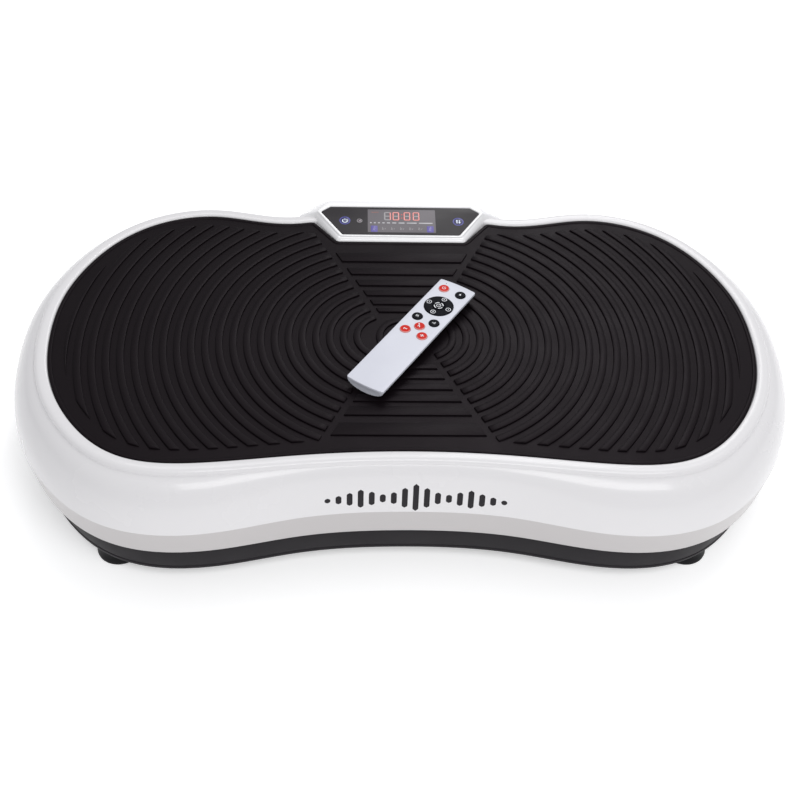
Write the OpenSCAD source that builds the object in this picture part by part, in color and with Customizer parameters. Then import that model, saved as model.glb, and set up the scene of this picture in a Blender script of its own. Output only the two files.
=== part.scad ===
// Oscillating vibration plate: a rocking platform with a ribbed mat, a console
// and a handheld remote, over a low base that holds the motor and crank drive.
// Units are millimetres. The origin is on the floor at the middle of the plan:
// X runs along the platform, +Y is the side with the console and the mains inlet,
// -Y is the plain front and +Z is up.

/* [Platform] */
// Height of the platform's rim above the floor
deck_top = 134; // [130:0.5:138]
// How far the shell's widest line stands outside the mat
flare = 37; // [30:1:40]
// How much of the flare is taken away at the front waist
waist_cut = 0.34; // [0:0.02:0.4]
// Depth of the shell's widest line below the rim
crease_drop = 52; // [46:1:56]
// Depth of the shell's bottom edge below the rim
skirt_drop = 79; // [74:1:82]

/* [Mat] */
// Thickness of the mat between its ribs
mat_web = 3; // [2:0.1:4]
// Height of the ribs above the web
rib_h = 2; // [1:0.1:2.4]
// Distance from one curved rib to the next
rib_pitch = 12.7; // [11:0.1:14]
// Width of a rib
rib_w = 7; // [5:0.1:8]
// Half the distance between the two sets of curved ribs
rib_offset = 15; // [10:0.5:20]
// Half the angle that each set of curved ribs spans
rib_span = 65; // [60:1:70]

/* [Base] */
// Height of the rubber feet
foot_h = 18; // [14:0.5:20]
// Diameter of a foot
foot_d = 42; // [36:1:46]
// How far the base wall stands inside the shell's bottom edge
base_inset = 10; // [8:0.5:13]
// Height of the base wall's top edge above the floor
tray_top = 64; // [60:1:66]

/* [Drive] */
// Height of the platform's pivot axis
pivot_z = 92; // [88:1:94]
// Distance of the crank from the pivot
crank_x = 150; // [145:1:160]
// Height of the crank and of the motor
crank_z = 58; // [57:0.5:60]
// Throw of the eccentric, which sets how far the platform tilts
throw = 2; // [1.5:0.1:2.1]
// Distance of the motor from the pivot
motor_x = 46; // [44:1:50]

/* [Remote] */
// Length of the remote
remote_l = 165; // [150:1:170]
// Width of the remote
remote_w = 38; // [36:1:40]
// Thickness of the remote
remote_t = 11; // [10:0.5:12]
// Direction of the remote's long axis on the mat, in degrees
remote_turn = 56.5; // [50:0.5:60]
// Travel of a remote key
key_travel = 0.8; // [0.4:0.1:1]

/* [Hidden] */

$fn = 48;
eps = 0.01;
gap = 0.3;

// ---- plan outline of the mat: a smooth closed spline through a few points
mat_half = [[99, -160.5], [201, -169.5], [268, -146], [312.5, -82], [326.5, -8],
    [316.5, 67], [269, 143], [190, 172.5], [107, 162]];
mat_knots = concat([[0, -155]], mat_half, [[0, 184]],
    [for (i = [len(mat_half) - 1:-1:0]) [-mat_half[i][0], mat_half[i][1]]]);
spline_fits = 14;
steps_per_knot = 5;

function wrap(list, i) = list[(i + 2 * len(list)) % len(list)];
function spline_hull(c, n) = n == 0 ? c :
    spline_hull([for (i = [0:len(c) - 1]) c[i] + mat_knots[i]
        - (wrap(c, i - 1) + 4 * c[i] + wrap(c, i + 1)) / 6], n - 1);
mat_controls = spline_hull(mat_knots, spline_fits);
function spline_at(i, t) = (pow(1 - t, 3) * wrap(mat_controls, i - 1)
    + (3 * pow(t, 3) - 6 * t * t + 4) * wrap(mat_controls, i)
    + (-3 * pow(t, 3) + 3 * t * t + 3 * t + 1) * wrap(mat_controls, i + 1)
    + pow(t, 3) * wrap(mat_controls, i + 2)) / 6;
function spline_slope(i, t) = (-pow(1 - t, 2) * wrap(mat_controls, i - 1)
    + (3 * t * t - 4 * t) * wrap(mat_controls, i)
    + (-3 * t * t + 2 * t + 1) * wrap(mat_controls, i + 1)
    + t * t * wrap(mat_controls, i + 2)) / 2;
samples = [for (i = [0:len(mat_knots) - 1]) for (s = [0:steps_per_knot - 1])
    [i, s / steps_per_knot]];
mat_points = [for (q = samples) spline_at(q[0], q[1])];
mat_slopes = [for (q = samples) spline_slope(q[0], q[1])];
mat_normals = [for (v = mat_slopes) [v[1], -v[0]] / norm(v)];
// outside the rim, the flare is reduced by these shares at the middle of the front
// and of the back
waist_half = 145;
console_cut = 0.5;
console_half = 110;
lip_w = 12;
function waist_at(p, n) = waist_cut * max(0, -n[1]) * exp(-pow(p[0] / waist_half, 4))
    + console_cut * max(0, n[1]) * exp(-pow(p[0] / console_half, 2));
function flare_at(d, cut) = d > lip_w ? d - (d - lip_w) * cut * flare / (flare - lip_w) : d;
// outline at distance d outside the mat's edge
function ring(d) = [for (i = [0:len(mat_points) - 1])
    mat_points[i] + mat_normals[i] * flare_at(d, waist_at(mat_points[i], mat_normals[i]))];
// outline of the base wall, moved inwards by a further amount
function base_ring(inset) = [for (i = [0:len(mat_points) - 1])
    mat_points[i] + mat_normals[i]
        * (flare_at(flare - skirt_in, waist_at(mat_points[i], mat_normals[i])) - base_inset - inset)];

// ---- ribs: near and far edge of each straight rib, from the ribs' centre
rib_centre_y = -10;
rib_first_r = 33;
rib_count = 22;
rib_reach = 420;
rib_margin = 15;
hub_r = [20, 27];
front_ribs = [[37, 44], [50, 57], [63, 71], [77, 86], [92, 103], [112, 127]];
back_ribs = [[34, 40], [45, 52], [58, 66], [73, 82], [90, 100], [110, 124]];

// ---- heights
mat_z = deck_top - mat_web - rib_h;
skin_t = 3.5;
skin_z = mat_z - skin_t;
frame_t = 4;
frame_z = skin_z - frame_t;
tray_t = 3.5;
tray_wall = 3;
tray_z = foot_h;
floor_z = tray_z + tray_t;
plate_t = 3;
plate_z = floor_z + plate_t;
plate_corner = 20;
plate_hole_x = 200;
plate_hole_r = 12;

// ---- shell profile: distance outside the mat edge, drop below the rim
skirt_in = 4;
shell_wall = 3;
recess_in = 40;
recess = [[-recess_in, deck_top - mat_z], [0, deck_top - mat_z]];
shell_outer = [[0, 1.2], [1.5, 0], [6, -0.6], [10, 0], [11.5, 1.8], [12.4, 4.6], [17, 6.6],
    [24, 12.5], [30, 22], [34.6, 35], [flare, crease_drop], [flare - skirt_in, skirt_drop]];
shell_inner = [[flare - skirt_in - shell_wall, skirt_drop], [flare - shell_wall, crease_drop],
    [31.4, 36], [27, 25], [21.5, 16.5], [14, 10.6], [8, deck_top - skin_z]];

// ---- console
console_tilt = 8;
console_y = 136;
console_rise = 3;
console_top = [[61.5, 0.5], [86, 36.5], [73.5, 52]];
console_foot = [[64.2, 133.1], [89, 171.5], [80, 199]];
console_foot_z = 132.4;
fairing_foot = [[87.4, 169], [106, 177], [96, 193], [80, 199]];
panel_corners = [[59.5, 3.2], [82, 35.6], [72, 43.3]];
panel_t = 2.4;
panel_ledge = 3;
panel_play = 0.2;
icon_r = 5.5;
icon_recess = 0.8;
sensor_r = 2.1;
board_well = 30;
mat_notch = [[64.7, 132.7], [110.3, 203], [80, 230]];
print_x = 1;
display_size = [69.4, 32.6];
display_s = 7;
icon_x = 58;
icon_s = 23.2;
sensor_x = 43;
readout_board = [100, 32];
readout_board_s = 7;
readout_drop = 7;
readout_size = [60, 24, 3];

// ---- drive
shaft_r = 8;
shaft_half = 120;
fit = 0.05;
stand_y = 108;
stand_t = 8;
lug_y = 90;
lug_t = 10;
motor_r = 29;
motor_half = 62;
motor_rod_r = 4;
belt_y = -77;
belt_w = 12;
belt_t = 2.5;
belt_edge = belt_y + belt_w / 2;
spoke_r = 17.5;
motor_pulley_r = 13;
driven_pulley_r = 26;
crank_r = 10;
journal_r = 14;
journal_half = 9;
block_y = 38;
block_t = 14;
bearing_r = 16;
link_ring_r = 20;
link_eye_r = 26;
rod_half = 7;
wrist_z = 99;
wrist_r = 5;
wrist_play = 4.4;
wrist_eye_t = 3.6;
fork_y = 11;
fork_t = 6;
post_x = 215;
post_y = 78;
post_r = 10;
frame_corner = 20;
frame_hole_x = [-150, -60, 75];
frame_hole_r = 30;
buffer_t = 12;
buffer_gap = 4;

// ---- control board on four spacers
circuit_t = 1.6;
control_pos = [-178, -50];
control_size = [118, 96];
spacer_inset = 6;
spacer_r = 3.6;
spacer_hole_r = 2.2;
spacer_h = 6;
spacer_places = [for (sx = [0, 1], sy = [0, 1]) [
    control_pos[0] + spacer_inset + sx * (control_size[0] - 2 * spacer_inset),
    control_pos[1] + spacer_inset + sy * (control_size[1] - 2 * spacer_inset)]];
control_top = plate_z + spacer_h + circuit_t;

// ---- cooling slots in the floor of the tray
vent_count = 9;
vent_pitch = 10;
vent_w = 4;
vent_l = 22;
vent_y = 143;

// ---- feet
foot_x = 259;
foot_y = 153;
foot_hole_r = 3.2;
foot_boss_r = 8;
foot_boss_h = 10;
foot_cup_h = 6;

// ---- flat rear panel with the inlet and the switch
panel_y = 183;
panel_half = 70;
inlet_x = -46;
switch_x = -4;
panel_mid_z = 38;
inlet_w = 28;
inlet_h = 20;
inlet_depth = 22;
switch_w = 22;
switch_h = 15;

// ---- remote
remote_pos = [7.3, -18.5];
remote_z = deck_top + 0.3;
remote_r = 2.5;
remote_split = 8.6;
remote_wall = 1.6;
belly_l = remote_l - 2;
belly_half = remote_w / 2 - 0.4;
belly_steps = 20;
ring_key = [45, 0];
ring_r = 14;
ok_r = 5.5;
key_r = 5;
key_rise = 1.1;
key_play = 0.25;
board_z = 5;
board_t = 1.2;
board_ends = [-42, 78];
board_half = 14;
key_z = board_z + board_t + key_travel + 0.1;
ring_rise = 0.9;
cell_r = 10;
cell_t = 3.2;
cell_z = 3.4;
cell_x = -64;
cover_half = 12.8;
cover_end = -46;
led_r = 1.4;
led_z = board_z + board_t / 2;
key_places = [[70, 9], [70, -9], [21.5, 9], [21.5, -9], [10.5, 0], [0, 9], [0, -9]];

module at_remote() {
    translate([remote_pos[0], remote_pos[1], remote_z])
        rotate([0, 0, remote_turn])
            children();
}

module on_console(s = 0, up = 0) {
    translate([0, console_y, deck_top + console_rise])
        rotate([console_tilt, 0, 0])
            translate([0, s, up])
                children();
}

module mirrored_polygon(half) {
    polygon(concat(half, [for (i = [len(half) - 1:-1:0]) [-half[i][0], half[i][1]]]));
}

module along_y(x, z, y0, y1, r) {
    translate([x, y1, z])
        rotate([90, 0, 0])
            cylinder(r = r, h = y1 - y0);
}

module rounded_bar(size, r) {
    linear_extrude(size[2])
        union() {
            square([size[0] - 2 * r, size[1]], center = true);
            square([size[0], size[1] - 2 * r], center = true);
            for (sx = [-1, 1], sy = [-1, 1])
                translate([sx * (size[0] / 2 - r), sy * (size[1] / 2 - r)])
                    circle(r = r);
        }
}

module corners(x, y) {
    for (sx = [-1, 1], sy = [-1, 1])
        translate([sx * x, sy * y, 0])
            children();
}

module screw(head_r, head_h, shank_r, shank_l) {
    difference() {
        union() {
            cylinder(r = head_r, h = head_h);
            translate([0, 0, -shank_l])
                cylinder(r = shank_r, h = shank_l + eps);
        }
        translate([0, 0, head_h * 0.4])
            cylinder(r = head_r * 0.5, h = head_h, $fn = 6);
    }
}

// ---------------------------------------------------------------- base
module tray_cuts() {
    translate([inlet_x, panel_y - 20, panel_mid_z])
        cube([inlet_w + 2 * gap, 60, inlet_h + 2 * gap], center = true);
    translate([switch_x, panel_y - 20, panel_mid_z])
        cube([switch_w + 2 * gap, 60, switch_h + 2 * gap], center = true);
    corners(foot_x, foot_y)
        cylinder(r = foot_hole_r, h = tray_top);
    screw_holes();
    for (k = [0:vent_count - 1], sy = [-1, 1])
        translate([motor_x + (k - (vent_count - 1) / 2) * vent_pitch, sy * vent_y, 0])
            cube([vent_w, vent_l, 2 * floor_z + 1], center = true);
}

// the tray follows the shell, but its back is flat under the console
module tray_outline(inset) {
    difference() {
        union() {
            polygon(base_ring(inset));
            translate([inset - panel_half, 0])
                square([2 * (panel_half - inset), panel_y - inset]);
        }
        translate([-2 * panel_half, panel_y - inset])
            square([4 * panel_half, 80]);
    }
}

module base_tray() color("#3a3b3f") {
    difference() {
        union() {
            difference() {
                translate([0, 0, tray_z])
                    linear_extrude(tray_top - tray_z)
                        tray_outline(0);
                translate([0, 0, floor_z])
                    linear_extrude(tray_top)
                        tray_outline(tray_wall);
            }
            corners(foot_x, foot_y)
                translate([0, 0, floor_z - eps])
                    cylinder(r = foot_boss_r, h = foot_boss_h);
        }
        tray_cuts();
    }
}

module chassis_plate() color("#8d9096") {
    difference() {
        union() {
            translate([0, 0, floor_z])
                rounded_bar([2 * post_x + 50, 2 * stand_y + 34, plate_t], plate_corner);
            corners(post_x, post_y)
                translate([0, 0, floor_z])
                    cylinder(r = post_r, h = frame_z - buffer_gap - buffer_t - floor_z);
        }
        for (x = [-plate_hole_x, plate_hole_x])
            translate([x, 0, floor_z - 1])
                cylinder(r = plate_hole_r, h = plate_t + 2);
        corners(post_x, post_y)
            translate([0, 0, plate_z])
                cylinder(r = post_r - 2, h = deck_top);
        screw_holes();
    }
}

// places of the screws: pivot stands, bearing blocks, swing frame to shell
stand_screws = [for (x = [-30, 30], sy = [-1, 1]) [x, sy * stand_y]];
block_screws = [for (x = [-29, 29], y = [-block_y, block_y]) [crank_x + x, y]];
deck_screws = [for (x = [-200, -100, 100, 200], y = [-90, 90]) [x, y]];
stand_base_t = 5;
block_base_t = 8;
screw_r = 2.6;
screw_head_r = 5;
screw_head_h = 3;

module screw_holes() {
    for (p = concat(stand_screws, block_screws))
        translate([p[0], p[1], 0])
            cylinder(r = screw_r + 0.1, h = deck_top);
}

module foot(sx, sy) color("#1d1d20") {
    translate([sx * foot_x, sy * foot_y, 0])
        difference() {
            rotate_extrude()
                polygon([[0, 3], [foot_d / 2 - 7, 2], [foot_d / 2 - 5, 0], [foot_d / 2 - 1, 0],
                    [foot_d / 2, 2], [foot_d / 2 - 2.5, 7], [foot_d / 2 - 4, 12],
                    [foot_d / 2 - 4, foot_h], [0, foot_h]]);
            translate([0, 0, -eps])
                cylinder(r = foot_boss_r, h = foot_cup_h);
            cylinder(r = foot_hole_r, h = foot_h + 1);
        }
}

module foot_front_left() foot(-1, -1);
module foot_front_right() foot(1, -1);
module foot_rear_left() foot(-1, 1);
module foot_rear_right() foot(1, 1);

module foot_screws() color("silver") {
    corners(foot_x, foot_y)
        translate([0, 0, foot_cup_h - eps])
            rotate([180, 0, 0])
                screw(6, 3.5, 3, floor_z - 2);
}

module pivot_stand(sy) color("#777b82") {
    y0 = sy * stand_y - stand_t / 2;
    difference() {
        union() {
            translate([-22, y0, plate_z])
                cube([44, stand_t, pivot_z - plate_z]);
            along_y(0, pivot_z, y0, y0 + stand_t, 16);
            translate([-34, y0 - 6, plate_z])
                cube([68, stand_t + 12, stand_base_t]);
        }
        along_y(0, pivot_z, y0 - 1, y0 + stand_t + 1, shaft_r);
        screw_holes();
    }
}

module pivot_stand_front() pivot_stand(-1);
module pivot_stand_rear() pivot_stand(1);

module pivot_shaft() color("#c9ccd1") {
    along_y(0, pivot_z, -shaft_half, shaft_half, shaft_r);
}

module motor_case() color("#55585e") {
    difference() {
        union() {
            along_y(motor_x, crank_z, -motor_half, motor_half, motor_r);
            translate([motor_x - 7, 10, crank_z + motor_r - 3])
                cube([14, 26, 9]);
        }
        along_y(motor_x, crank_z, -motor_half + 3, motor_half + 1, motor_r - 2.5);
        along_y(motor_x, crank_z, -motor_half - 1, -motor_half + 4, motor_rod_r + fit);
    }
}

module motor_end_cap() color("#2b2c30") {
    difference() {
        union() {
            along_y(motor_x, crank_z, motor_half, motor_half + 5, motor_r);
            along_y(motor_x, crank_z, motor_half - 4, motor_half + eps, motor_r - 2.6);
        }
        along_y(motor_x, crank_z, motor_half - 5, motor_half + 3, motor_rod_r + fit);
        for (a = [0:60:300])
            translate([motor_x + 19 * cos(a), motor_half + 6, crank_z + 19 * sin(a)])
                rotate([90, 0, 0])
                    cylinder(r = 3.5, h = 12);
    }
}

module motor_mount() color("#8d9096") {
    difference() {
        union() {
            for (y = [-48, 44])
                translate([motor_x - 34, y, plate_z])
                    cube([68, 6, crank_z - plate_z]);
            translate([motor_x - 34, -48, plate_z])
                cube([68, 98, 3]);
        }
        along_y(motor_x, crank_z, -60, 60, motor_r + fit);
    }
}

module bearing_block(y) color("#777b82") {
    difference() {
        union() {
            along_y(crank_x, crank_z, y - block_t / 2, y + block_t / 2, bearing_r + 6);
            translate([crank_x - 22, y - block_t / 2, plate_z])
                cube([44, block_t, crank_z - plate_z]);
            translate([crank_x - 36, y - block_t / 2, plate_z])
                cube([72, block_t, block_base_t]);
        }
        along_y(crank_x, crank_z, y - block_t, y + block_t, bearing_r);
        screw_holes();
    }
}

module bearing_block_front() bearing_block(-block_y);
module bearing_block_rear() bearing_block(block_y);

module shaft_bearings() color("#d5d7da") {
    for (y = [-block_y, block_y])
        difference() {
            along_y(crank_x, crank_z, y - 6, y + 6, bearing_r);
            along_y(crank_x, crank_z, y - 7, y + 7, crank_r + fit);
        }
}

module deck_buffers() color("#202023") {
    corners(post_x, post_y)
        translate([0, 0, frame_z - buffer_gap - buffer_t])
            difference() {
                cylinder(r1 = post_r + 3, r2 = post_r, h = buffer_t);
                translate([0, 0, buffer_t - 4])
                    cylinder(r = 4, h = 5);
            }
}

module control_board() color("#1f5c38") {
    difference() {
        translate([control_pos[0], control_pos[1], plate_z + spacer_h])
            cube([control_size[0], control_size[1], circuit_t]);
        for (p = spacer_places)
            translate([p[0], p[1], 0])
                cylinder(r = spacer_hole_r, h = deck_top);
    }
    for (p = spacer_places)
        translate([p[0], p[1], plate_z])
            cylinder(r = spacer_r, h = spacer_h);
}

module transformer() color("#b98b3a") {
    translate([-166, -20, control_top]) {
        cube([44, 36, 30]);
        translate([6, -5, 5])
            cube([32, 46, 20]);
    }
}

module capacitors() color("#23408f") {
    for (y = [-30, -8, 14])
        translate([-84, y, control_top])
            cylinder(r = 9, h = 32);
    translate([-112, 22, control_top])
        cube([40, 4, 26]);
}

module mains_inlet() color("#141416") {
    translate([inlet_x, 0, panel_mid_z])
        difference() {
            union() {
                translate([-inlet_w / 2, panel_y - inlet_depth, -inlet_h / 2])
                    cube([inlet_w, inlet_depth, inlet_h]);
                translate([-inlet_w / 2 - 3, panel_y, -inlet_h / 2 - 2])
                    cube([inlet_w + 6, 2.4, inlet_h + 4]);
            }
            translate([-inlet_w / 2 + 2.5, panel_y - 14, -inlet_h / 2 + 2.5])
                cube([inlet_w - 5, 20, inlet_h - 5]);
            translate([-inlet_x, 0, -panel_mid_z])
                inlet_pins();
        }
}

module inlet_pins() color("#cfd1d4") {
    for (p = [[0, 3], [-7, -3], [7, -3]])
        translate([inlet_x + p[0] - 1, panel_y - 30, panel_mid_z + p[1] - 2])
            cube([2, 24, 4]);
}

module switch_frame() color("#18181b") {
    translate([switch_x, 0, panel_mid_z])
        difference() {
            union() {
                translate([-switch_w / 2, panel_y - 20, -switch_h / 2])
                    cube([switch_w, 20, switch_h]);
                translate([-switch_w / 2 - 2, panel_y, -switch_h / 2 - 2])
                    cube([switch_w + 4, 2, switch_h + 4]);
            }
            translate([-switch_w / 2 + 2, panel_y - 9, -switch_h / 2 + 2])
                cube([switch_w - 4, 20, switch_h - 4]);
        }
}

rocker_tilt = 9;
rocker_y = panel_y - 1;

module power_rocker() color("#c8281f") {
    translate([switch_x, rocker_y, panel_mid_z])
        rotate([0, 0, rocker_tilt])
            difference() {
                union() {
                    translate([0, 0, -switch_h / 2 + 2.3])
                        cylinder(r = 4.6, h = switch_h - 4.6);
                    translate([-7.4, 0, -switch_h / 2 + 2.3])
                        cube([14.8, 4.2, switch_h - 4.6]);
                }
                for (sx = [-1, 1])
                    translate([sx * 14, 26.8, -switch_h])
                        cylinder(r = 25, h = 2 * switch_h, $fn = 96);
            }
}

module chassis_screws() color("silver") {
    for (p = stand_screws)
        translate([p[0], p[1], plate_z + stand_base_t])
            screw(screw_head_r, screw_head_h, screw_r, stand_base_t + 4);
    for (p = block_screws)
        translate([p[0], p[1], plate_z + block_base_t])
            screw(screw_head_r, screw_head_h, screw_r, block_base_t + 4);
}

module drive_belt() color("#161618") {
    span = crank_x - motor_x;
    lean = asin((driven_pulley_r - motor_pulley_r) / span);
    translate([motor_x, belt_y + belt_w / 2, crank_z])
        rotate([90, 0, 0])
            linear_extrude(belt_w)
                difference() {
                    belt_outline(gap + belt_t, span, lean);
                    belt_outline(gap, span, lean);
                }
}

module belt_outline(extra, span, lean) {
    arc_step = 6;
    r0 = motor_pulley_r + extra;
    r1 = driven_pulley_r + extra;
    polygon(concat(
        [for (a = [90 + lean:arc_step:270 - lean]) r0 * [cos(a), sin(a)]],
        [r0 * [cos(270 - lean), sin(270 - lean)]],
        [for (a = [270 - lean:arc_step:450 + lean]) [span, 0] + r1 * [cos(a), sin(a)]],
        [[span, 0] + r1 * [cos(90 + lean), sin(90 + lean)]]));
}

// ---------------------------------------------------------------- drive
module motor_shaft() color("#c9ccd1") {
    along_y(motor_x, crank_z, belt_y - belt_w / 2 - 4, motor_half + 2, motor_rod_r);
    along_y(motor_x, crank_z, -motor_half + 8, motor_half - 10, motor_r - 8);
}

module motor_pulley() color("#9da0a6") {
    difference() {
        union() {
            along_y(motor_x, crank_z, belt_y - belt_w / 2, belt_edge, motor_pulley_r);
            along_y(motor_x, crank_z, belt_edge + 0.4, belt_edge + 2, motor_pulley_r + 4);
            along_y(motor_x, crank_z, belt_edge - eps, belt_edge + 0.4 + eps, motor_pulley_r);
        }
        along_y(motor_x, crank_z, belt_y - 20, belt_y + 20, motor_rod_r);
    }
}

module eccentric_shaft() color("#bfc2c8") {
    along_y(crank_x, crank_z, belt_y - belt_w / 2 - 5, block_y + 16, crank_r);
    along_y(crank_x + throw, crank_z, -journal_half, journal_half, journal_r);
}

module driven_pulley() color("#9da0a6") {
    difference() {
        union() {
            along_y(crank_x, crank_z, belt_y - belt_w / 2, belt_edge, driven_pulley_r);
            along_y(crank_x, crank_z, belt_edge - eps, belt_edge + 8, 16);
        }
        along_y(crank_x, crank_z, belt_y - 20, belt_y + 20, crank_r);
        for (a = [0:72:288])
            translate([crank_x + spoke_r * cos(a), belt_edge + 12, crank_z + spoke_r * sin(a)])
                rotate([90, 0, 0])
                    cylinder(r = 4.5, h = 40);
    }
}

module link_rod() color("#a7abb1") {
    wrist_eye = wrist_r + wrist_play + wrist_eye_t;
    difference() {
        union() {
            along_y(crank_x + throw, crank_z, -rod_half, rod_half, link_eye_r);
            along_y(crank_x + throw, wrist_z, -rod_half, rod_half, wrist_eye);
            translate([crank_x + throw - 9, -rod_half, crank_z + 16])
                cube([18, 2 * rod_half, wrist_z - crank_z - 20]);
        }
        along_y(crank_x + throw, crank_z, -rod_half - 1, rod_half + 1, link_ring_r);
        along_y(crank_x + throw, wrist_z, -rod_half - 1, rod_half + 1, wrist_r + wrist_play);
    }
}

module link_bearing() color("#d5d7da") {
    difference() {
        along_y(crank_x + throw, crank_z, -rod_half + 0.5, rod_half - 0.5, link_ring_r);
        along_y(crank_x + throw, crank_z, -rod_half, rod_half, journal_r + fit);
    }
}

// ---------------------------------------------------------------- deck
function shell_face(n, k, i) = [k * n + i, k * n + (i + 1) % n,
    (k + 1) * n + (i + 1) % n, (k + 1) * n + i];

module upper_shell_body() {
    n = len(mat_points);
    profile = concat(recess, shell_outer, shell_inner);
    rings = [for (q = profile) for (p = ring(q[0])) [p[0], p[1], deck_top - q[1]]];
    last = len(profile) - 1;
    polyhedron(points = rings, faces = concat(
        [[for (i = [n - 1:-1:0]) i]],
        [[for (i = [0:n - 1]) last * n + i]],
        [for (k = [0:last - 1]) for (i = [0:n - 1]) shell_face(n, k, i)]));
}

// the console's housing, with a fairing on each side that runs down to the rim
module console_island() {
    hull() {
        translate([0, 0, skin_z])
            linear_extrude(console_foot_z - skin_z)
                mirrored_polygon(console_foot);
        on_console(0, -1)
            linear_extrude(1)
                mirrored_polygon(console_top);
    }
    for (m = [0, 1])
        mirror([m, 0, 0])
            hull() {
                translate([0, 0, skin_z])
                    linear_extrude(console_foot_z - skin_z)
                        polygon(fairing_foot);
                on_console(0, -1)
                    linear_extrude(1)
                        polygon([console_top[1], console_top[2], [70, 45]]);
            }
}

// moves a corner of the panel towards its middle
function shrink(s, amount) = s < panel_corners[1][1] / 2 ? s + amount : s - amount;

// the panel's seat, and the opening below it for the display board
module console_cuts() {
    on_console(0, -panel_t)
        linear_extrude(2 * panel_t)
            mirrored_polygon(panel_corners);
    on_console(0, -board_well)
        linear_extrude(board_well)
            mirrored_polygon([for (p = panel_corners) [p[0] - 2 * panel_ledge, shrink(p[1], panel_ledge)]]);
}

module upper_shell() color("#eceef0") {
    difference() {
        union() {
            upper_shell_body();
            console_island();
        }
        console_cuts();
        for (p = deck_screws)
            translate([p[0], p[1], skin_z - 1])
                cylinder(r = screw_r, h = skin_t + 2);
    }
}

module rib_bands() {
    for (s = [-1, 1])
        translate([s * rib_offset, 0])
            for (k = [0:rib_count - 1])
                intersection() {
                    difference() {
                        circle(r = rib_first_r + k * rib_pitch, $fn = 72);
                        circle(r = rib_first_r + k * rib_pitch - rib_w, $fn = 72);
                    }
                    polygon([[0, 0], rib_reach * [s * cos(rib_span), sin(rib_span)], [2 * s * rib_reach, 0],
                        rib_reach * [s * cos(rib_span), -sin(rib_span)]]);
                }
}

module mat() color("#2c2c2f") {
    difference() {
        union() {
            translate([0, 0, mat_z])
                linear_extrude(mat_web)
                    polygon(ring(-gap));
            translate([0, 0, mat_z + mat_web - eps])
                linear_extrude(rib_h)
                    intersection() {
                        polygon(ring(-rib_margin));
                        translate([0, rib_centre_y])
                            union() {
                                rib_bands();
                                difference() {
                                    circle(r = hub_r[1]);
                                    circle(r = hub_r[0]);
                                }
                            }
                    }
            translate([0, rib_centre_y, mat_z + mat_web - eps])
                linear_extrude(rib_h) {
                    for (r = front_ribs)
                        straight_rib(-r[1], r[1] - r[0]);
                    for (r = back_ribs)
                        straight_rib(r[0], r[1] - r[0]);
                }
        }
        translate([0, 0, mat_z - 1])
            linear_extrude(20)
                mirrored_polygon(mat_notch);
    }
}

// one straight rib: its ends follow the edges of the two curved sets
module straight_rib(y, w) {
    edge = [for (v = [y, y + w]) rib_offset + abs(v) / tan(rib_span) - rib_w];
    polygon([[-edge[0], y], [edge[0], y], [edge[1], y + w], [-edge[1], y + w]]);
}

module swing_frame() color("#8d9096") {
    difference() {
        union() {
            translate([0, 0, frame_z])
                rounded_bar([2 * post_x + 40, 2 * lug_y + 40, frame_t], frame_corner);
            for (sy = [-1, 1]) {
                y0 = sy * lug_y - lug_t / 2;
                translate([-18, y0, pivot_z])
                    cube([36, lug_t, frame_z - pivot_z + 1]);
                along_y(0, pivot_z, y0, y0 + lug_t, 18);
            }
            for (y = [-fork_y - fork_t / 2, fork_y + fork_t / 2]) {
                translate([crank_x - 9, y - fork_t / 2, wrist_z])
                    cube([18, fork_t, frame_z - wrist_z + 1]);
                along_y(crank_x, wrist_z, y - fork_t / 2, y + fork_t / 2, 9);
            }
        }
        for (sy = [-1, 1])
            along_y(0, pivot_z, sy * lug_y - lug_t, sy * lug_y + lug_t, shaft_r + 3);
        along_y(crank_x, wrist_z, -40, 40, wrist_r);
        for (x = frame_hole_x)
            translate([x, 0, frame_z - 1])
                cylinder(r = frame_hole_r, h = frame_t + 2);
        for (p = deck_screws)
            translate([p[0], p[1], frame_z - 1])
                cylinder(r = screw_r, h = frame_t + 2);
    }
}

module pivot_bushes() color("#b08a4a") {
    for (sy = [-1, 1])
        difference() {
            union() {
                along_y(0, pivot_z, sy * lug_y - lug_t / 2, sy * lug_y + lug_t / 2, shaft_r + 3);
                along_y(0, pivot_z, sy * (lug_y - 6.5) - 1.5, sy * (lug_y - 6.5) + 1.5, shaft_r + 6);
            }
            along_y(0, pivot_z, sy * lug_y - 20, sy * lug_y + 20, shaft_r + fit);
        }
}

module frame_screws() color("silver") {
    for (p = deck_screws)
        translate([p[0], p[1], frame_z])
            rotate([180, 0, 0])
                screw(screw_head_r, screw_head_h, screw_r, frame_t + skin_t);
}

module wrist_pin() color("#c9ccd1") {
    along_y(crank_x, wrist_z, -fork_y - fork_t - 2, fork_y + fork_t + 2, wrist_r);
}

module console_panel() color("#1a1a1c") {
    difference() {
        on_console(0, -panel_t)
            linear_extrude(panel_t)
                mirrored_polygon([for (p = panel_corners) [p[0] - panel_play, shrink(p[1], panel_play)]]);
        on_console(display_s, -1)
            translate([print_x - display_size[0] / 2, 0, 0])
                cube([display_size[0], display_size[1], 5]);
        for (x = [-icon_x, icon_x])
            on_console(icon_s, -icon_recess)
                translate([print_x + x, 0, 0])
                    cylinder(r = icon_r + 0.1, h = 3);
        on_console(icon_s, -icon_recess)
            translate([print_x - sensor_x, 0, 0])
                cylinder(r = sensor_r + 0.1, h = 3);
    }
}

module display_window() color("#6e6a70") {
    on_console(display_s, -1)
        translate([print_x - display_size[0] / 2, 0, 0])
            cube([display_size[0], display_size[1], 1]);
}

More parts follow.
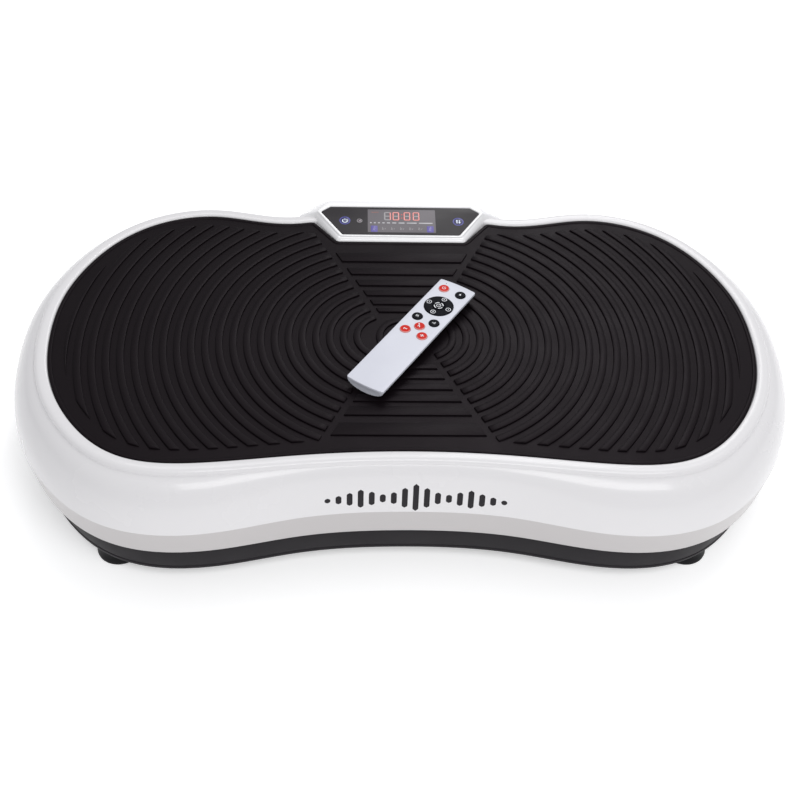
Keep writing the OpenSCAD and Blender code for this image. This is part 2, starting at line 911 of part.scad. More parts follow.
module display_board() color("#1f5c38") {
    on_console(readout_board_s, -readout_drop)
        translate([-readout_board[0] / 2, 0, 0])
            cube([readout_board[0], readout_board[1], circuit_t]);
    on_console(readout_board_s + 3, circuit_t - readout_drop)
        translate([-readout_size[0] / 2, 0, 0])
            cube(readout_size);
}

// which of the seven segments each digit of the clock lights
zero_segments = [1, 1, 1, 0, 1, 1, 1];
digit_segments = [[0, 0, 0, 0, 0, 1, 1], zero_segments, zero_segments, zero_segments];
digit_h = 11.8;
digit_w = 7;
digit_step = 8.8;
digit_gap = 2.6;
segment_w = 1.1;
clock_start = [-16.9, 17];

module digit(lit) {
    h = digit_h / 2;
    for (k = [0:2])
        if (lit[[0, 3, 2][k]] == 1)
            translate([segment_w * 0.4, (2 - k) * (h - segment_w / 2), 0])
                cube([digit_w - segment_w * 0.8, segment_w, 0.3]);
    for (sx = [0, 1], sy = [0, 1])
        if (lit[sx == 0 ? 1 + 3 * sy : 5 + sy] == 1)
            translate([sx * (digit_w - segment_w), sy * (h - segment_w / 2) + segment_w * 0.5, 0])
                cube([segment_w, h - segment_w * 0.5, 0.3]);
}

module display_digits() color("#e0302a") {
    on_console(display_s + clock_start[1], 0)
        for (k = [0:len(digit_segments) - 1])
            translate([clock_start[0] + k * digit_step + (k > 1 ? digit_gap : 0), 0, 0])
                digit(digit_segments[k]);
}

module touch_icons() color("#3a4ce0") {
    for (x = [-icon_x, icon_x])
        on_console(icon_s, -icon_recess)
            translate([print_x + x, 0, 0])
                cylinder(r = icon_r, h = icon_recess + 0.1);
}

module ir_window() color("#3a2a2a") {
    on_console(icon_s, -icon_recess)
        translate([print_x - sensor_x, 0, 0])
            cylinder(r = sensor_r, h = icon_recess + 0.1);
}

// ---------------------------------------------------------------- remote
// the curved underside: half an ellipse below the joint line, drawn along X
module belly(inset, x0, l, lid) {
    translate([x0, 0, 0])
        rotate([90, 0, 90])
            linear_extrude(l)
                polygon(concat(
                    [for (i = [0:belly_steps]) [-(belly_half - inset) * cos(180 * i / belly_steps),
                        remote_split - (remote_split - inset) * sin(180 * i / belly_steps)]],
                    [[belly_half - inset, remote_split + lid], [inset - belly_half, remote_split + lid]]));
}

module remote_bottom() color("#dfe2e8") {
    at_remote()
        difference() {
            belly(0, -belly_l / 2, belly_l, 0);
            belly(remote_wall, remote_wall - belly_l / 2, belly_l - 2 * remote_wall, 1);
            difference() {
                translate([-belly_l / 2 - 1, -cover_half - 0.2, -1])
                    cube([cover_end + belly_l / 2 + 1.2, 2 * cover_half + 0.4, 7]);
                belly(remote_wall + 0.2, -belly_l, belly_l, 1);
            }
            translate([belly_l / 2 - 3, 0, led_z])
                rotate([0, 90, 0])
                    cylinder(r = led_r + 0.2, h = 5);
        }
}

module remote_battery_cover() color("#d6d9df") {
    at_remote()
        intersection() {
            difference() {
                belly(0.1, -belly_l / 2, cover_end + belly_l / 2, 0);
                belly(remote_wall, -belly_l, belly_l, 1);
            }
            translate([-belly_l / 2, -cover_half, -1])
                cube([belly_l, 2 * cover_half, 7]);
        }
}

module remote_holes(extra) {
    for (p = key_places)
        translate([p[0], p[1], 0])
            cylinder(r = key_r + extra, h = 40);
    translate([ring_key[0], ring_key[1], 0])
        cylinder(r = ring_r + extra, h = 40);
}

module remote_top() color("#eef0f4") {
    at_remote()
        difference() {
            translate([0, 0, remote_split])
                rounded_bar([remote_l, remote_w, remote_t - remote_split], remote_r);
            translate([0, 0, remote_split - 1])
                rounded_bar([remote_l - 2 * remote_wall, remote_w - 2 * remote_wall,
                    remote_t - remote_split - remote_wall + 1], remote_r - 1.5);
            remote_holes(key_play);
        }
}

module remote_board() color("#1f5c38") {
    at_remote()
        translate([board_ends[0], -board_half, board_z])
            cube([board_ends[1] - board_ends[0], 2 * board_half, board_t]);
}

module remote_cell() color("#b9bcc0") {
    at_remote()
        translate([cell_x, 0, cell_z])
            cylinder(r = cell_r, h = cell_t);
}

module remote_led() color("#402030") {
    at_remote()
        translate([board_ends[1] + 0.2, 0, led_z])
            rotate([0, 90, 0])
                cylinder(r = led_r, h = belly_l / 2 - board_ends[1]);
}

module round_key(k) {
    at_remote()
        translate([key_places[k][0], key_places[k][1], key_z])
            cylinder(r = key_r, h = remote_t + key_rise - key_z);
}

module key_power() color("#d8281e") round_key(0);
module key_mute() color("#15161a") round_key(1);
module key_f() color("#15161a") round_key(2);
module key_m() color("#15161a") round_key(3);
module key_start() color("#d8281e") round_key(4);
module key_minus() color("#d8281e") round_key(5);
module key_plus() color("#d8281e") round_key(6);

module key_ring() color("#15161a") {
    at_remote()
        translate([ring_key[0], ring_key[1], key_z])
            difference() {
                cylinder(r = ring_r, h = remote_t + ring_rise - key_z);
                translate([0, 0, -1])
                    cylinder(r = ok_r + key_play, h = 20);
            }
}

module key_ok() color("#15161a") {
    at_remote()
        translate([ring_key[0], ring_key[1], key_z])
            cylinder(r = ok_r, h = remote_t + key_rise - key_z);
}

base_tray();
chassis_plate();
foot_front_left();
foot_front_right();
foot_rear_left();
foot_rear_right();
foot_screws();
pivot_stand_front();
pivot_stand_rear();
pivot_shaft();
motor_case();
motor_end_cap();
motor_mount();
bearing_block_front();
bearing_block_rear();
shaft_bearings();
deck_buffers();
control_board();
transformer();
capacitors();
mains_inlet();
inlet_pins();
switch_frame();
chassis_screws();
drive_belt();
upper_shell();
mat();
swing_frame();
pivot_bushes();
frame_screws();
wrist_pin();
console_panel();
display_window();
display_board();
display_digits();
touch_icons();
ir_window();
motor_shaft();
motor_pulley();
eccentric_shaft();
driven_pulley();
link_rod();
link_bearing();
power_rocker();
remote_bottom();
remote_top();
remote_battery_cover();
remote_board();
remote_cell();
remote_led();
key_power();
key_mute();
key_ring();
key_ok();
key_f();
key_m();
key_start();
key_minus();
key_plus();
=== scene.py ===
import math

import bmesh
import bpy
import numpy as np
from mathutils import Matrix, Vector


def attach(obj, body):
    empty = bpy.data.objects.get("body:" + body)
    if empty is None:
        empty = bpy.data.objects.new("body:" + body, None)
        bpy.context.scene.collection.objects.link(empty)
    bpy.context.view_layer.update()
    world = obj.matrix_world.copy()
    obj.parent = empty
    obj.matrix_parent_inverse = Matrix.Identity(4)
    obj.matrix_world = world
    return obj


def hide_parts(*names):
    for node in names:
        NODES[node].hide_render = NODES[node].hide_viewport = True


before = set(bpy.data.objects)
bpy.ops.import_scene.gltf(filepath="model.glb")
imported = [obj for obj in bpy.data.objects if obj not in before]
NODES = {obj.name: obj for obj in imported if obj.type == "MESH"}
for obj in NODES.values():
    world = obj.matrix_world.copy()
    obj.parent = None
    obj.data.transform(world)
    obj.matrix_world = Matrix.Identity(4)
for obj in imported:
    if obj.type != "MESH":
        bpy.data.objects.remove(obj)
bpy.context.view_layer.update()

MM = 0.001

# Heights and sizes in millimetres, as in the CAD source
DECK_TOP = 134.0
MAT_Z = 129.0
SKIN_Z = 125.5
FLARE = 37.0
LIP_W = 12.0
WAIST_HALF = 145.0
WAIST_CUT = 0.34
CONSOLE_HALF = 110.0
CONSOLE_CUT = 0.5
SKIRT_IN = 4.0
BASE_INSET = 10.0
PANEL_Y = 183.0
PANEL_HALF = 70.0
TRAY_TOP = 64.0
FOOT_H = 18.0
CONSOLE_Y = 136.0
CONSOLE_RISE = 3.0
CONSOLE_TILT = math.radians(8)
RIB_CENTRE_Y = -10.0

# Sockets of a Mix node that mixes colours
MIX_FACTOR, MIX_A, MIX_B, MIX_RESULT = 0, 6, 7, 2


# ------------------------------ materials
def new_material(name):
    mat = bpy.data.materials.new(name)
    mat.use_nodes = True
    tree = mat.node_tree
    shader = tree.nodes["Principled BSDF"]
    return mat, tree, shader


def add(tree, kind, **values):
    node = tree.nodes.new(kind)
    for key, value in values.items():
        if key in node.inputs:
            node.inputs[key].default_value = value
        else:
            setattr(node, key, value)
    return node


def noise(tree, vector, scale, detail=4.0, rough=0.5):
    node = add(tree, "ShaderNodeTexNoise", Scale=scale, Detail=detail, Roughness=rough)
    tree.links.new(vector, node.inputs["Vector"])
    return node.outputs["Fac"]


def remap(tree, value, low, high, to_low, to_high):
    node = add(tree, "ShaderNodeMapRange")
    node.inputs["From Min"].default_value = low
    node.inputs["From Max"].default_value = high
    node.inputs["To Min"].default_value = to_low
    node.inputs["To Max"].default_value = to_high
    tree.links.new(value, node.inputs["Value"])
    return node.outputs["Result"]


def finish_of(name, dark, light, rough, grain, bump, patch=18.0, stretch=(1, 1, 1), worn=None, **constant):
    """A procedural finish. Colour drifts between dark and light in patches, roughness between
    the two values of rough, and a grain of that scale per metre gives bump = (strength, depth in mm).
    worn = (colour, threshold, share) adds fine specks of another colour."""
    mat, tree, shader = new_material(name)
    coords = add(tree, "ShaderNodeTexCoord")
    mapping = add(tree, "ShaderNodeMapping")
    mapping.inputs["Scale"].default_value = stretch
    tree.links.new(coords.outputs["Object"], mapping.inputs["Vector"])
    vector = mapping.outputs["Vector"]
    mix = add(tree, "ShaderNodeMix", data_type="RGBA")
    mix.inputs[MIX_A].default_value = (*dark, 1)
    mix.inputs[MIX_B].default_value = (*light, 1)
    tree.links.new(remap(tree, noise(tree, vector, patch), 0.3, 0.7, 0, 1), mix.inputs[MIX_FACTOR])
    colour = mix.outputs[MIX_RESULT]
    if worn is not None:
        worn_colour, threshold, most = worn
        fine = noise(tree, vector, patch * 14, 8.0, 0.65)
        second = add(tree, "ShaderNodeMix", data_type="RGBA")
        second.inputs[MIX_B].default_value = (*worn_colour, 1)
        tree.links.new(colour, second.inputs[MIX_A])
        tree.links.new(remap(tree, fine, threshold, threshold + 0.12, 0, most), second.inputs[MIX_FACTOR])
        colour = second.outputs[MIX_RESULT]
    tree.links.new(colour, shader.inputs["Base Color"])
    tree.links.new(remap(tree, noise(tree, vector, patch * 4, 6.0), 0.3, 0.7, *rough),
                   shader.inputs["Roughness"])
    node = add(tree, "ShaderNodeBump", Strength=bump[0], Distance=bump[1] * MM)
    tree.links.new(noise(tree, vector, grain, 3.0), node.inputs["Height"])
    tree.links.new(node.outputs["Normal"], shader.inputs["Normal"])
    for key, value in constant.items():
        shader.inputs[key.replace("_", " ")].default_value = value
    return mat


def glow(mat, colour, strength):
    shader = mat.node_tree.nodes["Principled BSDF"]
    shader.inputs["Emission Color"].default_value = (*colour, 1)
    shader.inputs["Emission Strength"].default_value = strength
    return mat


SHELL = finish_of("gloss_white", (0.675, 0.665, 0.675), (0.685, 0.675, 0.685), (0.26, 0.28), 260,
                  (0.04, 0.01), patch=3, Coat_Weight=0.28, Coat_Roughness=0.07, IOR=1.5,
                  Specular_IOR_Level=0.2)
# a darker copy of the shell's white for the band below the crease: painted shade, as that band faces down
SHELL_PAINTED_SHADE = finish_of("gloss_white_painted_shade", (0.47, 0.45, 0.45), (0.48, 0.46, 0.46), (0.30, 0.32), 260,
                      (0.04, 0.01), patch=3, Coat_Weight=0.15, Coat_Roughness=0.2, IOR=1.5)
# a lighter copy of the shell's white for the console housing: painted light on the console
HOUSING_PAINTED_LIGHT = finish_of("console_white_painted_light", (0.83, 0.825, 0.835), (0.85, 0.845, 0.855), (0.26, 0.28), 260,
                    (0.04, 0.01), patch=3, Coat_Weight=0.3, Coat_Roughness=0.14, IOR=1.5)
RUBBER = finish_of("mat_rubber", (0.0036, 0.0022, 0.0030), (0.0050, 0.0036, 0.0044), (0.40, 0.48), 1500,
                   (0.22, 0.10), patch=9, worn=((0.012, 0.009, 0.011), 0.60, 0.3), Specular_IOR_Level=0.085,
                   Specular_Tint=(1.0, 0.86, 0.96, 1.0))
BASE_PLASTIC = finish_of("base_plastic", (0.0150, 0.0130, 0.0155), (0.0185, 0.0165, 0.0190),
                         (0.42, 0.52), 1100, (0.18, 0.06), patch=12, Specular_IOR_Level=0.12)
FOOT_RUBBER = finish_of("foot_rubber", (0.0035, 0.0035, 0.0045), (0.006, 0.0055, 0.007), (0.38, 0.5), 900,
                        (0.2, 0.08), patch=30, Specular_IOR_Level=0.18)
STEEL_PAINT = finish_of("frame_paint", (0.25, 0.26, 0.28), (0.32, 0.33, 0.35), (0.38, 0.52), 700,
                        (0.2, 0.08), patch=20, Metallic=0.3)
BRIGHT_STEEL = finish_of("bright_steel", (0.52, 0.53, 0.55), (0.68, 0.69, 0.70), (0.18, 0.34), 2600,
                         (0.12, 0.03), patch=40, stretch=(1, 14, 14), Metallic=1.0)
ZINC = finish_of("zinc_screw", (0.55, 0.55, 0.54), (0.74, 0.73, 0.70), (0.22, 0.38), 1800,
                 (0.1, 0.03), patch=120, Metallic=1.0)
MOTOR_BLACK = finish_of("motor_lacquer", (0.045, 0.047, 0.052), (0.075, 0.077, 0.083), (0.32, 0.46), 800,
                        (0.15, 0.06), patch=25, Metallic=0.4)
CAST = finish_of("cast_iron", (0.20, 0.20, 0.21), (0.31, 0.31, 0.32), (0.45, 0.65), 420,
                 (0.5, 0.25), patch=30, Metallic=0.6)
ALLOY = finish_of("turned_alloy", (0.60, 0.61, 0.63), (0.72, 0.73, 0.74), (0.22, 0.36), 2400,
                  (0.15, 0.03), patch=60, stretch=(12, 1, 12), Metallic=1.0)
BRONZE = finish_of("sintered_bronze", (0.46, 0.30, 0.13), (0.62, 0.44, 0.22), (0.34, 0.5), 1700,
                   (0.3, 0.06), patch=60, Metallic=1.0)
BOARD = finish_of("circuit_board", (0.012, 0.11, 0.045), (0.03, 0.17, 0.07), (0.28, 0.4), 600,
                  (0.15, 0.05), patch=90, worn=((0.45, 0.42, 0.20), 0.62, 0.8))
COPPER = finish_of("copper_winding", (0.42, 0.20, 0.08), (0.62, 0.33, 0.14), (0.25, 0.4), 300,
                   (0.5, 0.4), patch=70, stretch=(1, 1, 8), Metallic=0.8)
CAP_BLUE = finish_of("capacitor_sleeve", (0.02, 0.05, 0.20), (0.04, 0.08, 0.28), (0.2, 0.32), 500,
                     (0.08, 0.03), patch=50)
INLET = finish_of("inlet_plastic", (0.016, 0.016, 0.018), (0.026, 0.026, 0.029), (0.35, 0.5), 1300,
                  (0.15, 0.04), patch=40)
BELT = finish_of("belt_rubber", (0.018, 0.018, 0.019), (0.028, 0.028, 0.030), (0.5, 0.7), 900,
                 (0.3, 0.1), patch=60)
PANEL = finish_of("console_acrylic", (0.024, 0.021, 0.024), (0.028, 0.025, 0.028), (0.32, 0.38), 600,
                  (0.03, 0.0), patch=14, Specular_IOR_Level=0.2)
WINDOW = finish_of("display_window", (0.150, 0.138, 0.150), (0.165, 0.153, 0.165), (0.35, 0.42), 700,
                   (0.03, 0.0), patch=30, Specular_IOR_Level=0.2)
ROCKER = finish_of("rocker_red", (0.50, 0.020, 0.012), (0.64, 0.035, 0.02), (0.2, 0.3), 700,
                   (0.06, 0.02), patch=80, Coat_Weight=0.4)
REMOTE = finish_of("remote_white", (0.59, 0.60, 0.665), (0.62, 0.63, 0.695), (0.42, 0.52), 1400,
                   (0.08, 0.02), patch=30, Specular_IOR_Level=0.35)
CELL = finish_of("cell_steel", (0.50, 0.50, 0.51), (0.66, 0.66, 0.66), (0.2, 0.34), 1600,
                 (0.08, 0.02), patch=90, Metallic=1.0)
KEY_RED = finish_of("key_red", (0.50, 0.016, 0.010), (0.58, 0.024, 0.014), (0.4, 0.52), 1500,
                    (0.12, 0.03), patch=120, Specular_IOR_Level=0.1)
KEY_BLACK = finish_of("key_black", (0.0016, 0.0022, 0.0045), (0.0030, 0.0036, 0.0065), (0.42, 0.55), 1500,
                      (0.12, 0.03), patch=120, Specular_IOR_Level=0.06)
INK_WHITE = finish_of("ink_white", (0.70, 0.71, 0.74), (0.80, 0.81, 0.84), (0.4, 0.5), 1800,
                      (0.1, 0.01), patch=200)
INK_DARK = finish_of("ink_dark", (0.014, 0.012, 0.015), (0.020, 0.018, 0.021), (0.35, 0.45), 900,
                     (0.06, 0.0), patch=40, Specular_IOR_Level=0.15)
LED_LENS = finish_of("led_lens", (0.04, 0.02, 0.035), (0.07, 0.035, 0.06), (0.08, 0.14), 900,
                     (0.05, 0.01), patch=100)


def ink(name, dark, light, rough=(0.4, 0.5)):
    """A thin printed or lit layer."""
    return finish_of(name, dark, light, rough, 900, (0.05, 0.01), patch=150)


SEGMENT_RED = glow(ink("segment_red", (0.34, 0.028, 0.022), (0.42, 0.04, 0.03)), (0.95, 0.12, 0.09), 0.3)
SEGMENT_CORE = glow(ink("segment_core", (0.62, 0.36, 0.34), (0.70, 0.42, 0.40)), (1.0, 0.62, 0.58), 0.3)
SEGMENT_OFF = ink("segment_off", (0.30, 0.285, 0.295), (0.36, 0.345, 0.355))
ICON_BLUE = glow(ink("icon_blue", (0.045, 0.045, 0.26), (0.07, 0.07, 0.34), (0.3, 0.4)),
                 (0.12, 0.12, 0.85), 0.1)
ICON_NAVY = ink("icon_navy", (0.012, 0.012, 0.07), (0.02, 0.02, 0.10), (0.3, 0.4))
ICON_WHITE = glow(ink("icon_white", (0.60, 0.66, 0.78), (0.70, 0.76, 0.86), (0.3, 0.4)),
                  (0.85, 0.93, 1.0), 0.1)
ICON_VIOLET = glow(ink("icon_violet", (0.075, 0.060, 0.24), (0.10, 0.08, 0.30)), (0.25, 0.2, 0.85), 0.08)
ICON_PALE = ink("icon_pale", (0.24, 0.22, 0.42), (0.30, 0.28, 0.48))
ICON_ORANGE = glow(ink("icon_orange", (0.32, 0.09, 0.05), (0.38, 0.12, 0.07), (0.3, 0.4)),
                   (0.9, 0.2, 0.05), 0.08)
DASH_WHITE = ink("dash_white", (0.42, 0.41, 0.43), (0.50, 0.49, 0.51))
KEY_RIM = finish_of("key_rim", (0.66, 0.24, 0.22), (0.74, 0.30, 0.28), (0.4, 0.52), 1500,
                    (0.1, 0.02), patch=120)

# The parts carried over from the CAD get a material and a small softened edge
WELD_GAP, EDGE_W, EDGE_ANGLE = 0.01 * MM, 0.4 * MM, math.radians(50)
for names, mat in (
    (("chassis_plate", "pivot_stand_front", "pivot_stand_rear", "motor_mount", "swing_frame"), STEEL_PAINT),
    (("pivot_shaft", "motor_shaft", "eccentric_shaft", "wrist_pin", "shaft_bearings", "link_bearing",
      "inlet_pins"), BRIGHT_STEEL),
    (("foot_screws", "chassis_screws", "frame_screws"), ZINC),
    (("motor_case",), MOTOR_BLACK),
    (("motor_end_cap", "mains_inlet", "switch_frame"), INLET),
    (("bearing_block_front", "bearing_block_rear"), CAST),
    (("motor_pulley", "driven_pulley", "link_rod"), ALLOY),
    (("pivot_bushes",), BRONZE),
    (("deck_buffers",), FOOT_RUBBER),
    (("control_board", "display_board", "remote_board"), BOARD),
    (("transformer",), COPPER),
    (("capacitors",), CAP_BLUE),
    (("drive_belt",), BELT),
    (("power_rocker",), ROCKER),
    (("remote_cell",), CELL),
    (("remote_led",), LED_LENS),
):
    for node_name in names:
        node = NODES[node_name]
        node.data.materials.clear()
        node.data.materials.append(mat)
        weld = node.modifiers.new("weld", "WELD")
        weld.merge_threshold = WELD_GAP
        edge = node.modifiers.new("edge", "BEVEL")
        edge.width = EDGE_W
        edge.segments = 2
        edge.limit_method = "ANGLE"
        edge.angle_limit = EDGE_ANGLE
        edge.use_clamp_overlap = True


# ------------------------------ mesh helpers
def new_mesh(name, verts, faces):
    """A mesh from millimetre points, with its faces turned outwards."""
    mesh = bpy.data.meshes.new(name)
    mesh.from_pydata([tuple(float(c) * MM for c in v) for v in verts], [], [tuple(f) for f in faces])
    mesh.validate()
    work = bmesh.new()
    work.from_mesh(mesh)
    bmesh.ops.recalc_face_normals(work, faces=work.faces)
    work.to_mesh(mesh)
    work.free()
    return mesh


def smooth(mesh, angle):
    """Shades a mesh smooth, but for edges sharper than an angle."""
    mesh.polygons.foreach_set("use_smooth", [True] * len(mesh.polygons))
    mesh.set_sharp_from_angle(angle=math.radians(angle))


def new_object(name, data):
    obj = bpy.data.objects.new(name, data)
    bpy.context.scene.collection.objects.link(obj)
    return obj


def piece(name, verts, faces, mats, body, stands_for=(), slot=None, angle=38, indices=None):
    """A new piece from millimetre points, shaded smooth up to an angle, riding on its body."""
    mesh = new_mesh(name, verts, faces)
    for mat in mats if isinstance(mats, (list, tuple)) else [mats]:
        mesh.materials.append(mat)
    if indices is not None:
        mesh.polygons.foreach_set("material_index", indices)
    smooth(mesh, angle)
    obj = new_object(name, mesh)
    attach(obj, body)
    if stands_for:
        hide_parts(*stands_for)
    return obj


class Build:
    """Collects points, faces and material numbers of one piece."""

    def __init__(self):
        self.verts, self.faces, self.marks = [], [], []

    def add(self, rings, faces, mark):
        start = len(self.verts)
        self.verts += [tuple(p) for ring in rings for p in ring]
        self.faces += [[start + i for i in face] for face in faces]
        self.marks += [mark] * len(faces)

    def loft(self, rings, mark=0, cap_start=True, cap_end=True):
        """Skins a list of rings with the same number of points."""
        n = len(rings[0])
        faces = []
        for k in range(len(rings) - 1):
            for i in range(n):
                j = (i + 1) % n
                faces.append([k * n + i, k * n + j, (k + 1) * n + j, (k + 1) * n + i])
        if cap_start:
            faces.append(list(range(n))[::-1])
        if cap_end:
            faces.append([(len(rings) - 1) * n + i for i in range(n)])
        self.add(rings, faces, mark)

    def torus_loft(self, rings, mark=0):
        """Skins rings and joins the last one back to the first."""
        n, m = len(rings[0]), len(rings)
        faces = [[k * n + i, k * n + (i + 1) % n, ((k + 1) % m) * n + (i + 1) % n, ((k + 1) % m) * n + i]
                 for k in range(m) for i in range(n)]
        self.add(rings, faces, mark)

    def piece(self, name, mats, body, **kw):
        return piece(name, self.verts, self.faces, mats, body, indices=self.marks, **kw)


def circle(r, n=48, x=0.0, y=0.0):
    turns = [2 * math.pi * i / n for i in range(n)]
    return [(x + r * math.cos(a), y + r * math.sin(a)) for a in turns]


def at_height(points, z):
    return [(p[0], p[1], z) for p in points]


def fillet(corners, radii, steps=6):
    """A closed polygon with rounded corners. Radii and steps are one value or one per corner."""
    n = len(corners)
    out = []
    for i in range(n):
        p = np.array(corners[i], float)
        a, b = np.array(corners[i - 1], float) - p, np.array(corners[(i + 1) % n], float) - p
        a, b = a / np.linalg.norm(a), b / np.linalg.norm(b)
        r = radii[i] if isinstance(radii, (list, tuple)) else radii
        half = math.acos(max(-1.0, min(1.0, float(a @ b)))) / 2
        if r <= 0 or half > math.pi / 2 - 0.01:
            out.append(tuple(p))
            continue
        reach = r / math.tan(half)
        mid = (a + b) / np.linalg.norm(a + b)
        centre = p + mid * (r / math.sin(half))
        start, end = p + a * reach - centre, p + b * reach - centre
        a0 = math.atan2(start[1], start[0])
        turn = (math.atan2(end[1], end[0]) - a0 + math.pi) % (2 * math.pi) - math.pi
        count = steps[i] if isinstance(steps, (list, tuple)) else steps
        for s in range(count + 1):
            t = a0 + turn * s / count
            out.append((centre[0] + r * math.cos(t), centre[1] + r * math.sin(t)))
    return out


def inset(corners, amount):
    """Corners of a polygon whose sides are all moved inwards."""
    n = len(corners)
    area = sum(corners[i - 1][0] * corners[i][1] - corners[i][0] * corners[i - 1][1] for i in range(n))
    sign = 1 if area > 0 else -1
    out = []
    for i in range(n):
        p, q, r = (np.array(corners[k % n], float) for k in (i - 1, i, i + 1))
        d0, d1 = (q - p) / np.linalg.norm(q - p), (r - q) / np.linalg.norm(r - q)
        n0, n1 = np.array([-d0[1], d0[0]]) * sign, np.array([-d1[1], d1[0]]) * sign
        matrix = np.array([n0, n1])
        if abs(np.linalg.det(matrix)) < 1e-6:
            out.append(tuple(q + n0 * amount))
        else:
            out.append(tuple(q + np.linalg.solve(matrix, [amount, amount])))
    return out


def mirrored(half):
    """Half an outline and its mirror image in x."""
    return list(half) + [(-x, y) for x, y in reversed(half)]


def shift_path(points, amount):
    """A dense closed path moved to its left by an amount."""
    if not amount:
        return list(points)
    p = np.array(points, float)
    d = np.roll(p, -1, 0) - np.roll(p, 1, 0)
    d /= np.linalg.norm(d, axis=1)[:, None]
    return [tuple(v) for v in p + np.stack([-d[:, 1], d[:, 0]], 1) * amount]


def smooth_line(points, steps=4):
    """Catmull-Rom curve through points."""
    p = np.array(points, float)
    out = []
    for i in range(len(p) - 1):
        a, b, c, d = p[max(i - 1, 0)], p[i], p[i + 1], p[min(i + 2, len(p) - 1)]
        for s in range(steps):
            t = s / steps
            out.append(0.5 * (2 * b + (c - a) * t + (2 * a - 5 * b + 4 * c - d) * t * t
                              + (3 * b - a - 3 * c + d) * t ** 3))
    out.append(p[-1])
    return [tuple(v) for v in out]


# ------------------------------ plan outline, as in the CAD source
# the knots of a closed cubic spline
HALF_KNOTS = [(99, -160.5), (201, -169.5), (268, -146), (312.5, -82), (326.5, -8), (316.5, 67),
              (269, 143), (190, 172.5), (107, 162)]
KNOTS = [(0, -155)] + HALF_KNOTS + [(0, 184)] + [(-x, y) for x, y in reversed(HALF_KNOTS)]
KNOT_STEPS, SPLINE_FITS = 16, 14


def closed_spline(knots, steps):
    """Points of a smooth closed curve through the knots, and its outward normals."""
    k = np.array(knots, float)
    n = len(k)
    c = k.copy()
    for _ in range(SPLINE_FITS):
        c = c + k - (np.roll(c, 1, 0) + 4 * c + np.roll(c, -1, 0)) / 6
    points, normals = [], []
    for i in range(n):
        a, b, d, e = c[i - 1], c[i], c[(i + 1) % n], c[(i + 2) % n]
        for s in range(steps):
            t = s / steps
            points.append(((1 - t) ** 3 * a + (3 * t ** 3 - 6 * t * t + 4) * b
                           + (-3 * t ** 3 + 3 * t * t + 3 * t + 1) * d + t ** 3 * e) / 6)
            slope = (-(1 - t) ** 2 * a + (3 * t * t - 4 * t) * b
                     + (-3 * t * t + 2 * t + 1) * d + t * t * e) / 2
            normals.append(np.array([slope[1], -slope[0]]) / np.linalg.norm(slope))
    return np.array(points), np.array(normals)


EDGE, OUT = closed_spline(KNOTS, KNOT_STEPS)
# how much of the flare is cut away at the waist and behind the console
WAIST = (WAIST_CUT * np.maximum(0, -OUT[:, 1]) * np.exp(-(EDGE[:, 0] / WAIST_HALF) ** 4)
         + CONSOLE_CUT * np.maximum(0, OUT[:, 1]) * np.exp(-(EDGE[:, 0] / CONSOLE_HALF) ** 2))


def flare_at(d):
    """The distance outside the mat's edge, shortened by the waist's cut beyond the lip."""
    return d - max(0, d - LIP_W) * WAIST * FLARE / (FLARE - LIP_W)


def ring(d):
    """The platform's outline at that distance outside the mat's edge."""
    return EDGE + OUT * flare_at(d)[:, None]


PANEL_BLEND = 14.0  # the outline goes over from its curve to the flat rear panel in this width


def base_ring(inward):
    """The base's outline moved inwards, with a flat stretch at the back."""
    points = EDGE + OUT * (flare_at(FLARE - SKIRT_IN) - BASE_INSET - inward)[:, None]
    beyond = (PANEL_HALF + PANEL_BLEND - np.abs(points[:, 0])) / PANEL_BLEND
    share = np.clip(beyond, 0, 1) * (points[:, 1] > 0)
    share = share * share * (3 - 2 * share)
    points[:, 1] = points[:, 1] * (1 - share) + (PANEL_Y - inward) * share
    return points


# ------------------------------ deck shell
# distance outside the mat's edge, drop below DECK_TOP
UNDER_MAT, SEAT_DROP, SKIN_DROP = -40.0, 5.05, 8.6
OUTER = smooth_line([(0.0, 5.05), (0.0, 3.2), (0.15, 1.7), (0.8, 0.6), (2.2, -0.1), (4.2, -0.5), (6.4, -0.6),
                     (8.6, -0.35), (10.2, 0.35), (11.2, 1.3), (11.75, 2.5), (12.0, 3.6)], 3)[:-1] \
    + smooth_line([(12.0, 3.6), (12.5, 4.35), (13.6, 4.85), (15.6, 5.9), (18.4, 7.6), (21.4, 10.0),
                   (24.4, 13.2), (27.4, 17.6), (30.2, 22.9), (32.6, 28.8), (34.5, 35.2), (35.9, 42.2),
                   (36.8, 49.2), (37.0, 51.4)], 4)[:-1] \
    + smooth_line([(37.0, 51.4), (37.02, 52.2), (36.85, 53.2), (36.4, 56.5), (35.4, 64.0), (34.3, 72.0),
                   (33.5, 77.6), (33.1, 78.7), (32.3, 79.0)], 3)
INNER = smooth_line([(30.9, 79.0), (30.3, 78.4), (30.4, 76.0), (32.0, 64.0), (33.6, 52.6), (33.0, 44.0),
                     (31.2, 36.0), (27.0, 25.0), (21.5, 16.5), (14.0, 10.9), (8.0, 8.6)], 3)
CREASE = OUTER.index((37.0, 51.4))
build = Build()
profile = [(UNDER_MAT, SEAT_DROP)] + OUTER + INNER + [(UNDER_MAT, SKIN_DROP)]
build.loft([at_height(ring(d), DECK_TOP - drop) for d, drop in profile])
# the faces below the crease take the darker copy of the white: painted shade on the downward-facing band
below = (CREASE + 1) * len(EDGE)
build.marks[below:] = [1] * len(build.marks[below:])
build.piece("deck_shell", [SHELL, SHELL_PAINTED_SHADE], "deck", stands_for=["upper_shell"],
            slot="shell_white", angle=10)


def on_console(x, s, up):
    """A point of the tilted console: across, up along its face, and off the face."""
    c, t = math.cos(CONSOLE_TILT), math.sin(CONSOLE_TILT)
    return (x, CONSOLE_Y + s * c - up * t, DECK_TOP + CONSOLE_RISE + s * t + up * c)


